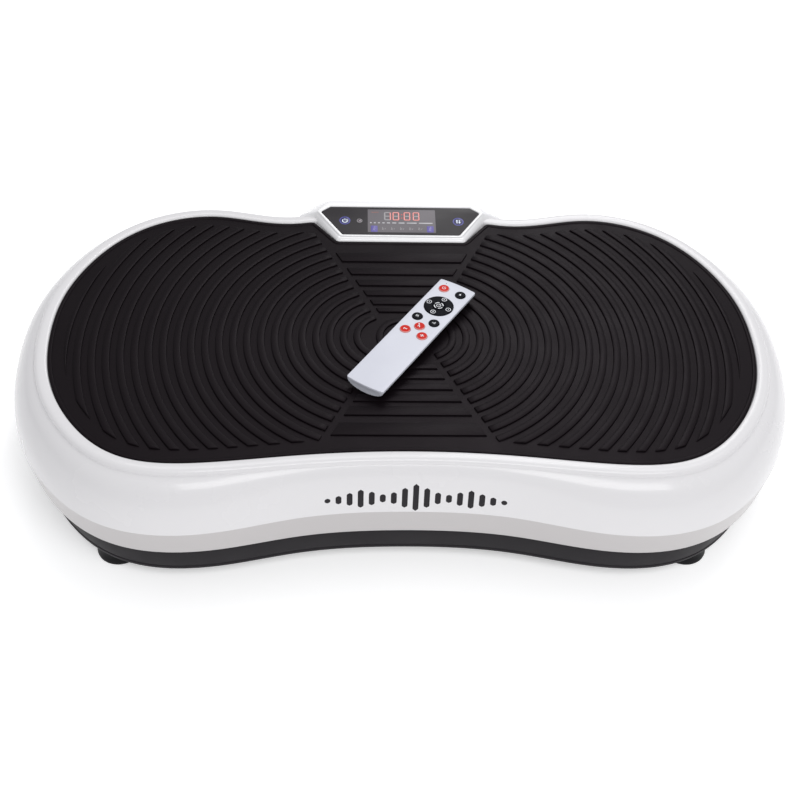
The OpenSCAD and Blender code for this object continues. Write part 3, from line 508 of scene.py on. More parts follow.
# the housing's plan where it meets the mat and the shell, with four corners a side, and at its rim,
# with three. The middle one of those gets the points of two
FOOT_HALF = [(64.3, 133.1), (87.6, 168.6), (106, 177), (88, 197)]
FOOT_TOP = [133.0, 131.6, 130.2, 130.2]
FOOT_ROUND = [5, 2.5, 3, 5, 5, 3, 2.5, 5]
FOOT_SINK, RIM_DEPTH, RIM_SLOPE = 0.6, 1.3, 0.9
TOP_PLAN = mirrored([(61.5, 0.5), (86, 36.5), (73.5, 52)])
TOP_ROUND = [4.4, 2.4, 3.0, 3.0, 2.4, 4.4]
PANEL_PLAN = mirrored([(59.5, 3.2), (82, 35.6), (72, 43.3)])
CORNER = 5
SIDE_CORNER = 2 * CORNER + 1
TOP_STEPS = [CORNER, SIDE_CORNER, CORNER, CORNER, SIDE_CORNER, CORNER]


def console_ring(plan, up, r, steps=CORNER):
    return [on_console(x, s, up) for x, s in fillet(plan, r, steps)]


def lerp_ring(a, b, t):
    """The ring at share t of the way from ring a to ring b."""
    return [tuple(p * (1 - t) + q * t for p, q in zip(u, v)) for u, v in zip(a, b)]


foot_plan = fillet(mirrored(FOOT_HALF), FOOT_ROUND, CORNER)
foot_low = at_height(foot_plan, SKIN_Z + FOOT_SINK)
foot_z = np.repeat(FOOT_TOP + FOOT_TOP[::-1], CORNER + 1)
foot_high = [(p[0], p[1], float(z)) for p, z in zip(foot_plan, foot_z)]
rim_low = console_ring(TOP_PLAN, -RIM_DEPTH, TOP_ROUND, TOP_STEPS)
rim_high = console_ring(inset(TOP_PLAN, RIM_SLOPE), 0.0, TOP_ROUND, TOP_STEPS)
rings = [foot_low, lerp_ring(foot_low, foot_high, 0.96), foot_high]
# share of the way up, and how far the surface swells there
FAIRING = [(0.18, 0.5), (0.38, 0.8), (0.6, 0.8), (0.8, 0.5), (1.0, 0.0)]
RIM_EDGE = [(0.35, 0.42), (0.75, 0.25), (1.0, 0.0)]
for low, high, course in ((foot_high, rim_low, FAIRING), (rim_low, rim_high, RIM_EDGE)):
    for t, swell in course:
        rings.append([(p[0], p[1], p[2] + swell) for p in lerp_ring(low, high, t)])
# the step down into the panel's seat: amount inwards, height
PANEL_SEAT = [(-1.0, 0.02), (-0.7, -0.08), (-0.45, -0.4), (-0.1, -0.5), (0.05, -0.7), (0.05, -2.5)]
PANEL_ROUND = [2.2, 2.4, 2.6, 2.6, 2.4, 2.2]
for amount, up in PANEL_SEAT:
    rings.append(console_ring(inset(PANEL_PLAN, amount), up, PANEL_ROUND, TOP_STEPS))
build = Build()
build.loft(rings)
build.piece("console_housing", HOUSING_PAINTED_LIGHT, "deck", slot="shell_white", angle=32)

# ------------------------------ mat
MAT_GAP = 0.35
NOTCH = [(64.7, 132.7), (110.3, 203.0)]
NOTCH_LEAN = (NOTCH[1][0] - NOTCH[0][0]) / (NOTCH[1][1] - NOTCH[0][1])
NOTCH_ROUND = [6.5, 6, 6, 6.5]
NOTCH_TRIM = 9.0  # room left for rounding where the notch meets the outline
SHOULDER_Y = 120.0


def mat_path():
    """The mat's outline with the console's notch cut out, anticlockwise, with rounded corners."""
    kept = [tuple(p) for p in ring(-MAT_GAP)
            if abs(p[0]) > NOTCH[0][0] + (p[1] - NOTCH[0][1]) * NOTCH_LEAN or p[1] < 0]
    right = [p for p in kept if p[0] >= 0 and p[1] > 0]
    front = [p for p in kept if p[1] <= 0]
    # up the right side first, then inwards along the back
    right.sort(key=lambda p: (1, -p[0]) if p[1] > SHOULDER_Y else (0, p[1]))
    front.sort(key=lambda p: math.atan2(p[1], p[0]))
    corner = right[-1]
    right = [p for p in right if math.dist(p, corner) > NOTCH_TRIM]
    left = [(-x, y) for x, y in reversed(right)]
    notch = [corner, NOTCH[0], (-NOTCH[0][0], NOTCH[0][1]), (-corner[0], corner[1])]
    radii = [0] * len(right) + NOTCH_ROUND + [0] * (len(left) + len(front))
    return fillet(right + notch + left + front, radii, 7)


outline = mat_path()
MAT_WEB = 3.4  # the web between the ribs, 0.4 above the CAD's: the photo's grooves look shallow
# the mat's raised border: amount inwards, height above the mat's seat
BORDER = [(0.0, 0.1), (0.0, 3.6), (0.25, 4.1), (0.75, 4.3), (3.0, 4.3), (3.5, 4.1), (3.8, 3.6),
          (4.0, MAT_WEB)]
build = Build()
build.loft([at_height(shift_path(outline, d), MAT_Z + z) for d, z in BORDER])

# curved ribs: two fans of concentric bands, each cut along the mat's outline
RIB_W, RIB_PITCH, RIB_FIRST, RIB_COUNT = 7.0, 12.7, 33.0, 22
RIB_OFFSET = 15.0
RIB_SPAN = math.radians(65)
RIB_MARGIN = 15.0
RIB_ROOT, RIB_TOP = 2.8, 5.0
RIB_SIDE = [(0.0, RIB_ROOT), (0.12, 4.2), (0.4, 4.75), (1.0, RIB_TOP)]
RIB_THIN = 0.35  # the least width of a rib cut off by the border
RIB_END, RIB_END_RISE = 0.5, 0.82  # the rounded end of a rib, and how high it starts
RIB_STEP = 7.0


def rib_limits():
    """Angle and distance of the ribs' outer boundary, seen from the right fan's centre."""
    p = ring(-RIB_MARGIN) - np.array([RIB_OFFSET, RIB_CENTRE_Y])
    angle, reach = np.arctan2(p[:, 1], p[:, 0]), np.hypot(p[:, 0], p[:, 1])
    keep = np.abs(angle) < math.radians(80)
    order = np.argsort(angle[keep])
    return angle[keep][order], reach[keep][order]


LIMIT_ANGLE, LIMIT_REACH = rib_limits()


def reach_at(angle):
    return float(np.interp(angle, LIMIT_ANGLE, LIMIT_REACH))


def rib_ends(radius):
    """The two angles between which a circle of that radius lies inside the boundary."""
    fan = np.linspace(-RIB_SPAN, RIB_SPAN, 2601)
    inside = np.array([reach_at(a) > radius for a in fan])
    if not inside.any():
        return None
    return fan[inside][0], fan[inside][-1]


def rib_section(low, high, height=1.0):
    """Points across a rib from its inner to its outer side: (radius, height above the mat's seat)."""
    squeeze = min(1.0, (high - low) / 2.5)
    rise = height * (0.35 + 0.65 * squeeze)
    side = [(d * squeeze, RIB_ROOT + (z - RIB_ROOT) * rise) for d, z in RIB_SIDE]
    return [(low + d, z) for d, z in side] + [(high - d, z) for d, z in reversed(side)]


for k in range(RIB_COUNT):
    outer = RIB_FIRST + k * RIB_PITCH
    inner = outer - RIB_W
    ends = rib_ends(inner + 0.3)
    if ends is None:
        continue
    top_ends = rib_ends(outer)
    stops = set(np.linspace(*ends, max(14, int((ends[1] - ends[0]) * outer / RIB_STEP))))
    if top_ends is not None:
        stops.update(top_ends)
        for a, b in ((ends[0], top_ends[0]), (top_ends[1], ends[1])):
            stops.update(np.linspace(a, b, 5))
    lip = RIB_END / outer
    stops = sorted(stops | {ends[0] + lip, ends[1] - lip})
    stops = [a for i, a in enumerate(stops) if i == 0 or a - stops[i - 1] > 0.15 / outer]
    for side in (1, -1):
        sections = []
        for a in stops:
            high = max(inner + RIB_THIN, min(outer, reach_at(a)))
            at_end = min(a - stops[0], stops[-1] - a) < lip / 2
            section = rib_section(inner, high, RIB_END_RISE if at_end else 1.0)
            sections.append([(side * (RIB_OFFSET + r * math.cos(a)), RIB_CENTRE_Y + r * math.sin(a),
                              MAT_Z + z) for r, z in section])
        build.loft(sections)

# straight ribs between the fans (near and far edge from the middle), and the rings in the middle
FRONT_RIBS = [(37, 44), (50, 57), (63, 71), (77, 86), (92, 103), (112, 127)]
BACK_RIBS = [(34, 40), (45, 52), (58, 66), (73, 82), (90, 100), (110, 124)]
for side, bands in ((-1, FRONT_RIBS), (1, BACK_RIBS)):
    for near, far in bands:
        w0, w1 = (RIB_OFFSET + v / math.tan(RIB_SPAN) - RIB_W for v in (near, far))
        y0, y1 = RIB_CENTRE_Y + side * near, RIB_CENTRE_Y + side * far
        corners = [(-w0, y0), (w0, y0), (w1, y1), (-w1, y1)]
        build.loft([at_height(inset(corners, d), MAT_Z + z) for d, z in RIB_SIDE])
for low, high in ((20, 27), (7, 12)):
    section = rib_section(low, high) + [((low + high) / 2, RIB_ROOT)]
    build.torus_loft([at_height(circle(r, 64, 0, RIB_CENTRE_Y), MAT_Z + z) for r, z in section])
build.piece("deck_mat", RUBBER, "deck", stands_for=["mat"], slot="mat_rubber", angle=40)

# ------------------------------ console panel and display
GLASS, FACE = -0.6, -0.5  # heights of the panel's face and the window's face


def rect(x0, y0, x1, y1):
    return [(x0, y0), (x1, y0), (x1, y1), (x0, y1)]


def console_plate(name, plan, ups, mat, stands_for, slot, r=1.8):
    """A plate in the console's plane: rings of (amount inwards, height)."""
    b = Build()
    b.loft([console_ring(inset(plan, d), up, max(0.3, r - d)) for d, up in ups])
    b.piece(name, mat, "deck", stands_for=stands_for, slot=slot, angle=30)


console_plate("console_glass", PANEL_PLAN, [(0.3, -2.4), (0.3, -1.0), (0.42, -0.72), (0.8, GLASS)],
              PANEL, ["console_panel"], "console_black")
console_plate("display_glass", rect(-33.7, 7.0, 35.7, 39.6), [(0, -0.9), (0, -0.56), (0.15, FACE)],
              WINDOW, ["display_window"], "display_smoke", r=0.8)


def flat_shape(b, outline, low, high, mark=0, place=on_console, bevel=0.08):
    """A thin raised shape from a closed 2D outline."""
    b.loft([[place(x, y, low) for x, y in outline],
            [place(x, y, high - 0.04) for x, y in outline],
            [place(x, y, high) for x, y in inset(outline, bevel)]], mark)


def flat_ring(b, x, y, r0, r1, low, high, mark=0, place=on_console, arc=None, n=40):
    """A thin raised ring, or an arc of one: (start, turn)."""
    section = ((r0, low), (r0, high), (r1, high), (r1, low))
    if arc is None:
        b.torus_loft([[place(u, v, z) for u, v in circle(r, n, x, y)] for r, z in section], mark)
    else:
        turns = [arc[0] + arc[1] * i / n for i in range(n + 1)]
        b.loft([[place(x + r * math.cos(a), y + r * math.sin(a), z) for r, z in section]
                for a in turns], mark)


def printed(b, outline, mark=0, top=0.1):
    """A printed shape on the display window."""
    flat_shape(b, outline, FACE - 0.1, FACE + top, mark)


def on_glass(b, outline, mark, top):
    """A printed shape on the console's panel."""
    flat_shape(b, outline, GLASS - 0.15, GLASS + top, mark)


def along(x0, y0, x1, y1):
    """The unit direction of a stroke."""
    d = np.array([x1 - x0, y1 - y0], float)
    return d / np.linalg.norm(d)


def bar(x0, y0, x1, y1, w):
    """Corners of a straight stroke of width w."""
    d = along(x0, y0, x1, y1) * w / 2
    return [(x0 + d[1], y0 - d[0]), (x1 + d[1], y1 - d[0]), (x1 - d[1], y1 + d[0]), (x0 - d[1], y0 + d[0])]


def pointed_bar(x0, y0, x1, y1, w):
    """A stroke with pointed ends."""
    d = along(x0, y0, x1, y1) * w / 2
    sides = bar(x0, y0, x1, y1, w)
    return [(x0 - d[0], y0 - d[1]), *sides[:2], (x1 + d[0], y1 + d[1]), *sides[2:]]


DIGIT_W, DIGIT_H, DIGIT_Y, SEG_W, SEG_GAP, CORE = 7.0, 11.8, 24.1, 1.3, 0.35, 0.42
DIGIT_X = [-16.9, -8.3, 3.1, 12.4]


def segment_strokes():
    """The seven strokes of a digit, from its lower left corner."""
    w, h, g = DIGIT_W, DIGIT_H, SEG_GAP
    t = SEG_W / 2
    mid = h / 2
    return {
        "bottom": (t + g, t, w - t - g, t), "middle": (t + g, mid, w - t - g, mid),
        "top": (t + g, h - t, w - t - g, h - t),
        "lower_left": (t, t + g, t, mid - g), "upper_left": (t, mid + g, t, h - t - g),
        "lower_right": (w - t, t + g, w - t, mid - g), "upper_right": (w - t, mid + g, w - t, h - t - g)}


ONE = {"lower_right", "upper_right"}
ZERO = set(segment_strokes()) - {"middle"}
lit, unlit = Build(), Build()
for x, shown in zip(DIGIT_X, (ONE, ZERO, ZERO, ZERO)):
    for label, (x0, y0, x1, y1) in segment_strokes().items():
        ends = (x + x0, DIGIT_Y + y0, x + x1, DIGIT_Y + y1)
        printed(lit if label in shown else unlit, pointed_bar(*ends, SEG_W))
        if label in shown:
            printed(lit, pointed_bar(*ends, SEG_W * CORE), 1, top=0.16)
for colon_y in (3.4, 8.3):
    printed(lit, circle(0.7, 16, 1.1, DIGIT_Y + colon_y))
lit.piece("clock_digits", [SEGMENT_RED, SEGMENT_CORE], "deck", stands_for=["display_digits"],
          slot="digit_red")

# a row of growing dashes, small figures below it, two of them in boxes, and a short tally
DASHES = [1.6, 1.8, 2.1, 2.5, 3.2, 4.1, 6.1, 10.1, 13.9]
DASH_X, DASH_Y, DASH_H, DASH_GAP = -31.3, 19.6, 1.4, 2.3
BOX_X, BOX_HALF, BOX_LOW, BOX_HIGH = (-27.1, 30.0), 3.4, 7.4, 16.2
FIGURE_X = (-17.6, -8.4, 0.9, 10.2, 19.5)
TALLY_X, TALLY_Y, TALLY_PITCH = -29.6, 35.2, 1.9
# strokes from the figure's place: x0, y0, x1, y1, width
BOX_FIGURE = [(0.1, 13.2, -0.5, 11.2, 0.7), (-0.5, 11.2, 0.9, 9.2, 0.55), (-0.5, 11.3, -1.6, 9.4, 0.55),
              (0, 12.8, 1.5, 12.1, 0.5), (0, 12.8, -1.6, 12.4, 0.5)]
SMALL_FIGURE = [(-1.0, 12.9, -1.5, 10.5, 0.45), (-1.2, 11.4, 0.2, 10.3, 0.4), (-0.9, 12.7, 0.6, 12.1, 0.4),
                (1.3, 10.7, 2.2, 12.8, 0.4)]
x = DASH_X
for length in DASHES:
    printed(unlit, rect(x, DASH_Y, x + length, DASH_Y + DASH_H), 1)
    x += length + DASH_GAP
for x in BOX_X:
    printed(unlit, fillet(rect(x - BOX_HALF, BOX_LOW, x + BOX_HALF, BOX_HIGH), 0.8, 4), 2, top=0.08)
    printed(unlit, circle(0.7, 12, x + 0.3, 14.2), 4, top=0.14)
    for x0, y0, x1, y1, w in BOX_FIGURE:
        printed(unlit, bar(x + x0, y0, x + x1, y1, w), 4, top=0.14)
for x in FIGURE_X:
    printed(unlit, circle(0.45, 12, x - 1.0, 13.6))
    for x0, y0, x1, y1, w in SMALL_FIGURE:
        printed(unlit, bar(x + x0, y0, x + x1, y1, w))
for i in range(4):
    x = TALLY_X + i * TALLY_PITCH
    printed(unlit, bar(x, TALLY_Y, x + 1.2, TALLY_Y + 0.6, 0.6), 3)
unlit.piece("display_marks", [SEGMENT_OFF, DASH_WHITE, ICON_VIOLET, ICON_ORANGE, ICON_PALE], "deck")

# two ringed touch keys: a power sign on the left, a pair of arrows on the right
KEY_LEFT, KEY_RIGHT, KEY_Y, TOUCH_R = -57.0, 59.0, 23.2, 4.9
icons = Build()
for x in (KEY_LEFT, KEY_RIGHT):
    on_glass(icons, circle(TOUCH_R, 40, x, KEY_Y), 2, 0.06)
    flat_ring(icons, x, KEY_Y, TOUCH_R - 0.15, TOUCH_R + 0.6, GLASS - 0.15, GLASS + 0.1, 0)
flat_ring(icons, KEY_LEFT, KEY_Y - 0.3, 2.0, 2.9, GLASS - 0.15, GLASS + 0.12, 1,
          arc=(math.radians(130), math.radians(280)), n=24)
on_glass(icons, bar(KEY_LEFT, KEY_Y + 0.4, KEY_LEFT, KEY_Y + 2.9, 0.8), 1, 0.12)
for dx, up in ((-1.3, 1), (1.3, -1)):
    x = KEY_RIGHT + dx
    head = [(x - 1.25, KEY_Y + 0.8 * up), (x + 1.25, KEY_Y + 0.8 * up), (x, KEY_Y + 2.8 * up)]
    on_glass(icons, bar(x, KEY_Y - 2.3 * up, x, KEY_Y + 0.9 * up, 0.85), 1, 0.12)
    on_glass(icons, head[::up], 1, 0.12)
icons.piece("touch_rings", [ICON_BLUE, ICON_WHITE, ICON_NAVY], "deck", stands_for=["touch_icons"],
            slot="icon_blue")

# the sensor: a dark lens under a thin ring with three crossed spokes
SENSOR_X, SPOKE = -42.0, 1.2
sensor = Build()
flat_ring(sensor, SENSOR_X, KEY_Y, 2.2, 2.7, GLASS - 0.15, GLASS + 0.1)
on_glass(sensor, circle(1.9, 20, SENSOR_X, KEY_Y), 1, 0.02)
for i in range(3):
    dx, dy = SPOKE * math.cos(math.pi * i / 3), SPOKE * math.sin(math.pi * i / 3)
    on_glass(sensor, bar(SENSOR_X - dx, KEY_Y - dy, SENSOR_X + dx, KEY_Y + dy, 0.35), 0, 0.06 + 0.02 * i)
sensor.piece("sensor_mark", [SEGMENT_OFF, LED_LENS], "deck", stands_for=["ir_window"], slot="ir_smoke")


# ------------------------------ decal on the front of the shell
def front_at(x, drop, lift):
    """A point on the shell's front at that x and drop, lifted off the surface by lift."""
    profile = np.array(OUTER)
    ahead = profile[:, 1] > 4
    d = float(np.interp(drop, profile[ahead, 1], profile[ahead, 0]))
    outline = ring(d + lift)
    front = outline[:, 1] < -120
    order = np.argsort(outline[front, 0])
    y = float(np.interp(x, outline[front, 0][order], outline[front, 1][order]))
    return (x, y, DECK_TOP - drop)


DECAL_BARS = [5, 9, 14, 20, 15, 9, 13, 22, 30, 22, 13, 9, 15, 20, 14, 9, 5]
DECAL_PITCH, DECAL_W, DECAL_X, DECAL_DROP, DECAL_ROWS = 9.4, 5.0, 6.0, 35.0, 14
DECAL_SECTION = [(-1, -0.1), (-1, 0.08), (-0.9, 0.14), (0, 0.14), (0.9, 0.14), (1, 0.08), (1, -0.1)]
decal = Build()
for i, height in enumerate(DECAL_BARS):
    middle = DECAL_X + (i - (len(DECAL_BARS) - 1) / 2) * DECAL_PITCH
    rows = []
    for v in np.linspace(-1, 1, DECAL_ROWS + 1):
        past = abs(v) * height / 2 - (height - DECAL_W) / 2
        half = DECAL_W / 2 if past <= 0 else math.sqrt(max(0.05, (DECAL_W / 2) ** 2 - past * past))
        drop = DECAL_DROP + v * height / 2
        rows.append([front_at(middle + u * half, drop, lift) for u, lift in DECAL_SECTION])
    decal.loft(rows)
decal.piece("front_decal", INK_DARK, "deck", angle=50)

# ------------------------------ base pan
PAN_T = 3.5
PAN_FLOOR = FOOT_H + PAN_T
# from the inside of the wall over its top, down the outside and under the skirt bead
WALL = [(3.0, TRAY_TOP - 0.8), (2.2, TRAY_TOP), (0.8, TRAY_TOP), (0.0, TRAY_TOP - 0.8), (0.0, 45.0),
        (0.0, 24.2), (0.25, 23.4), (0.55, 23.0), (0.55, 22.6), (0.1, 22.2), (0.0, 21.8), (0.0, 20.2),
        (0.25, 19.1), (0.9, 18.3), (1.9, FOOT_H)]
build = Build()
build.loft([at_height(base_ring(d), z) for d, z in [(3.6, PAN_FLOOR), (3.1, PAN_FLOOR + 0.5)] + WALL])
pan = build.piece("base_pan", BASE_PLASTIC, "base", stands_for=["base_tray"], slot="base_plastic", angle=35)

# vents in the floor in front of and behind the motor, and openings for the mains inlet and the
# switch: x, half width, half height
VENT_X, VENT_Y, VENT_PITCH, VENT_COUNT, VENT_W, VENT_L = 46.0, 143.0, 10.0, 9, 4.0, 22.0
SOCKET_Z, SOCKET_Y = 38.0, (160, 200)
SOCKETS = [(-46.0, 14.3, 10.3), (-4.0, 11.3, 7.8)]
cutter = Build()
for k in range(VENT_COUNT):
    x = VENT_X + (k - (VENT_COUNT - 1) / 2) * VENT_PITCH
    for y in (-VENT_Y, VENT_Y):
        plan = fillet(rect(x - VENT_W / 2, y - VENT_L / 2, x + VENT_W / 2, y + VENT_L / 2), 1.9, 4)
        cutter.loft([at_height(plan, z) for z in (FOOT_H - 2, PAN_FLOOR + 3)])
for x, wide, high in SOCKETS:
    plan = rect(x - wide, SOCKET_Y[0], x + wide, SOCKET_Y[1])
    cutter.loft([at_height(plan, z) for z in (SOCKET_Z - high, SOCKET_Z + high)])


CUT_ANGLE = 35


def cut_out(target, b):
    """Cuts the closed shapes of b out of a piece, for good."""
    mesh = new_mesh("cutter", b.verts, b.faces)
    tool = new_object("cutter", mesh)
    boolean = target.modifiers.new("cut", "BOOLEAN")
    boolean.object = tool
    boolean.operation = "DIFFERENCE"
    boolean.solver = "EXACT"
    bpy.context.view_layer.update()
    result = bpy.data.meshes.new_from_object(target.evaluated_get(bpy.context.evaluated_depsgraph_get()))
    target.modifiers.clear()
    old = target.data
    target.data = result
    bpy.data.meshes.remove(old)
    bpy.data.objects.remove(tool)
    bpy.data.meshes.remove(mesh)
    smooth(result, CUT_ANGLE)


cut_out(pan, cutter)

# ------------------------------ feet
FOOT_X, FOOT_Y = 259.0, 153.0
# radius and height, from the screw's recess over the tread and up the cup
FOOT_PROFILE = [(8.2, 5.9), (8.0, 4.0), (8.4, 3.0), (12.5, 2.4), (15.0, 1.6), (16.0, 0.4), (16.6, 0.0),
                (19.4, 0.0), (20.2, 0.3), (20.8, 1.1), (21.0, 2.2), (20.6, 3.4), (19.6, 5.4), (18.7, 7.4),
                (18.1, 9.6), (17.6, 12.0), (17.4, 12.6), (17.0, 12.9), (17.0, 13.5), (17.3, 13.9),
                (17.4, 14.6), (17.4, 17.2), (17.0, FOOT_H)]
for end, y in (("front", -FOOT_Y), ("rear", FOOT_Y)):
    for side, x in (("left", -FOOT_X), ("right", FOOT_X)):
        place = f"{end}_{side}"
        build = Build()
        build.loft([at_height(circle(r, 72, x, y), z) for r, z in FOOT_PROFILE])
        build.piece("rubber_foot_" + place, FOOT_RUBBER, "base", stands_for=["foot_" + place],
                    slot="foot_rubber", angle=50)

# ------------------------------ remote
REMOTE_AT = (7.3, -18.5, 134.3)
REMOTE_TURN = math.radians(56.5)
REMOTE_L, REMOTE_W, REMOTE_T = 165.0, 38.0, 11.0
SPLIT, WALL_T = 8.6, 1.6
BELLY_END, BELLY_HALF = REMOTE_L / 2 - 1, REMOTE_W / 2 - 0.4
COVER_HALF, COVER_END, COVER_PLAY = 12.8, -46.0, 0.2
KEY_R, KEY_BASE, KEY_PLAY = 5.0, 7.1, 0.25
RING_AT, RING_R, OK_R = (45.0, 0.0), 14.0, 5.5
ROUND_KEYS = {"key_power": (70, 9), "key_mute": (70, -9), "key_f": (21.5, 9), "key_m": (21.5, -9),
              "key_start": (10.5, 0), "key_minus": (0, 9), "key_plus": (0, -9)}


def on_remote(x, y, z):
    """A point of the remote: along it, across it, and above its underside."""
    c, t = math.cos(REMOTE_TURN), math.sin(REMOTE_TURN)
    return (REMOTE_AT[0] + x * c - y * t, REMOTE_AT[1] + x * t + y * c, REMOTE_AT[2] + z)


def on_face(plan, z):
    """A flat outline at one height of the remote."""
    return [on_remote(x, y, z) for x, y in plan]


def belly(amount, x, lid=0.0, edge=0.0, steps=40):
    """Points across the remote's curved underside at one place along it, moved inwards by an amount.
    The arc starts and ends at an angle edge from the side; a lid closes it above the seam."""
    turns = [edge + (math.pi - 2 * edge) * i / steps for i in range(steps + 1)]
    out = [(x, (amount - BELLY_HALF) * math.cos(a), SPLIT - (SPLIT - amount) * math.sin(a)) for a in turns]
    if lid:
        out += [(x, BELLY_HALF - amount, SPLIT + lid), (x, amount - BELLY_HALF, SPLIT + lid)]
    return [on_remote(*p) for p in out]


def belly_strip(outside, inside, x, edge):
    """A closed section of the underside between two depths."""
    return belly(outside, x, edge=edge, steps=20) + belly(inside, x, edge=edge, steps=20)[::-1]


# underside, with the battery bay's opening and the hole for the lamp in its end
ROUNDED_END = [(0.0, 0.6), (0.12, 0.25), (0.4, 0.05), (0.8, 0)]
LAMP_R, LAMP_Z = 1.6, 5.6
sections = [(x - BELLY_END, d) for x, d in ROUNDED_END]
build = Build()
build.loft([belly(d, x) for x, d in sections + [(-x, d) for x, d in reversed(sections)]])
remote_under = build.piece("remote_underside", REMOTE, "remote", stands_for=["remote_bottom"],
                           slot="remote_white", angle=35)
cutter = Build()
cutter.loft([belly(WALL_T, x, 2.0) for x in (WALL_T - BELLY_END, BELLY_END - WALL_T)])
bay_edge = math.acos((COVER_HALF + COVER_PLAY) / BELLY_HALF)
cutter.loft([belly_strip(-2.0, WALL_T + 0.2, x, bay_edge) for x in (-BELLY_END - 2, COVER_END + COVER_PLAY)])
cutter.loft([[on_remote(x, y, LAMP_Z + z) for y, z in circle(LAMP_R, 24)]
             for x in (BELLY_END - 4, BELLY_END + 2)])
cut_out(remote_under, cutter)

# battery cover, with five finger ribs
FINGER_X, FINGER_PITCH, FINGER_HALF, FINGER_ARC = 8.0, 2.2, 0.45, math.radians(18)
build = Build()
COVER_SHAPE = [(-BELLY_END, 0.5), (0.3 - BELLY_END, 0.15), (COVER_END - 0.2, 0.15), (COVER_END, 0.4)]
build.loft([belly_strip(d, WALL_T, x, math.acos(COVER_HALF / (BELLY_HALF - d))) for x, d in COVER_SHAPE])
for i in range(5):
    x = FINGER_X - BELLY_END + i * FINGER_PITCH
    edge = math.pi / 2 - FINGER_ARC
    build.loft([belly(0.05, x + dx, edge=edge, steps=8) + belly(0.6, x + dx, edge=edge, steps=8)[::-1]
                for dx in (-FINGER_HALF, FINGER_HALF)])
build.piece("battery_door", REMOTE, "battery_cover", stands_for=["remote_battery_cover"],
            slot="remote_white", angle=35)

# face: both ends are bowed a little
END_BOW, BOW_STEPS, FACE_CORNER = 1.3, 8, 1.6
FACE_EDGE = [(0.35, SPLIT), (0.0, SPLIT + 0.35), (0.0, 10.6), (0.1, 10.85), (0.4, REMOTE_T)]
bow = [(REMOTE_L / 2 + 0.4 - END_BOW * t * t, REMOTE_W / 2 * t) for t in np.linspace(-1, 1, BOW_STEPS + 1)]
bow_round = [FACE_CORNER] + [0] * (BOW_STEPS - 1) + [FACE_CORNER]
face_plan = fillet(bow + [(-x, -y) for x, y in bow], bow_round * 2, 5)
build = Build()
build.loft([on_face(shift_path(face_plan, d), z) for d, z in FACE_EDGE])
remote_face = build.piece("remote_face", REMOTE, "remote", stands_for=["remote_top"],
                          slot="remote_white", angle=30)
cutter = Build()
for x, y, r in [(*at, KEY_R) for at in ROUND_KEYS.values()] + [(*RING_AT, RING_R)]:
    cutter.loft([on_face(circle(r + KEY_PLAY, 56, x, y), z) for z in (5, 15)])
cutter.loft([on_face(shift_path(face_plan, WALL_T), z) for z in (SPLIT - 1, REMOTE_T - WALL_T)])
cut_out(remote_face, cutter)
build = Build()
build.loft([on_face(circle(r, 16, 78, 11), z) for r, z in ((0.45, 10.8), (0.45, 11.02), (0.3, 11.05))])
build.piece("remote_pilot_dot", KEY_BLACK, "remote")

# ------------------------------ remote keys
KEY_TOP, RING_TOP, INK_UP, INK_DOWN = 12.1, 11.9, 0.03, 0.2


def ring_mark(x, y, r0, r1, arc=None):
    """A ring symbol, drawn by a function of the key's build, place, top and ink."""
    def draw(b, at, top, ink):
        flat_ring(b, at[0] + x, at[1] + y, r0, r1, top - INK_DOWN, top + INK_UP, ink, place=on_remote,
                  arc=arc, n=28)
    return draw


def line_mark(outline):
    """A filled symbol, drawn in the same way."""
    def draw(b, at, top, ink):
        flat_shape(b, [(at[0] + u, at[1] + v) for u, v in outline], top - INK_DOWN, top + INK_UP, ink,
                   place=on_remote, bevel=0.03)
    return draw


def key_cap(name, at, r, colour, marks, rim=None):
    """A domed key with its printed symbol."""
    b = Build()
    side = [(r, KEY_BASE), (r, KEY_TOP - 0.55), (r - 0.12, KEY_TOP - 0.3), (r - 0.45, KEY_TOP - 0.12)]
    dome = [(r - 0.45, KEY_TOP - 0.12), (r * 0.7, KEY_TOP - 0.03), (r * 0.4, KEY_TOP), (0.05, KEY_TOP)]
    b.loft([on_face(circle(q, 48, *at), z) for q, z in side], 1 if rim else 0, cap_end=False)
    b.loft([on_face(circle(q, 48, *at), z) for q, z in dome], cap_start=False)
    for draw in marks:
        draw(b, at, KEY_TOP, 2)
    b.piece(name + "_cap", [colour, rim or colour, INK_WHITE], name + "_cap", stands_for=[name],
            slot="key_red" if colour is KEY_RED else "key_black", angle=50)


POWER = [ring_mark(0, 0, 1.35, 1.85, (math.radians(40), math.radians(280))),
         line_mark(bar(0.3, 0, 2.2, 0, 0.5))]
WEDGE = [line_mark([(-1.2, -1.2), (1.4, 0), (-1.2, 1.2)])]
CHEVRONS = [line_mark(bar(-1.4, y, 1.2, y + 0.7, 0.5)) for y in (-1.3, -0.2, 0.9)]
STEPS = [line_mark(bar(-1.5, y, -1.5 + h, y, 0.55)) for y, h in ((1.3, 1.2), (0.1, 2.0), (-1.1, 2.9))]
RUN = [line_mark(bar(-1.9, -1.2, 1.2, 1.1, 0.9)), line_mark(bar(-1.6, 1.3, 0.1, 0.1, 0.7)),
       ring_mark(1.9, 1.6, 0.05, 0.65)]
STEM = line_mark(bar(0, -1.9, 0, 1.9, 0.9))
MINUS = [STEM, line_mark(bar(0.2, 1.9, -1.6, 0.6, 0.7))]
PLUS = [STEM, line_mark(bar(-1.7, 0, 1.7, 0, 0.85))]
RED, BLACK = (KEY_RED, KEY_RIM), (KEY_BLACK, None)
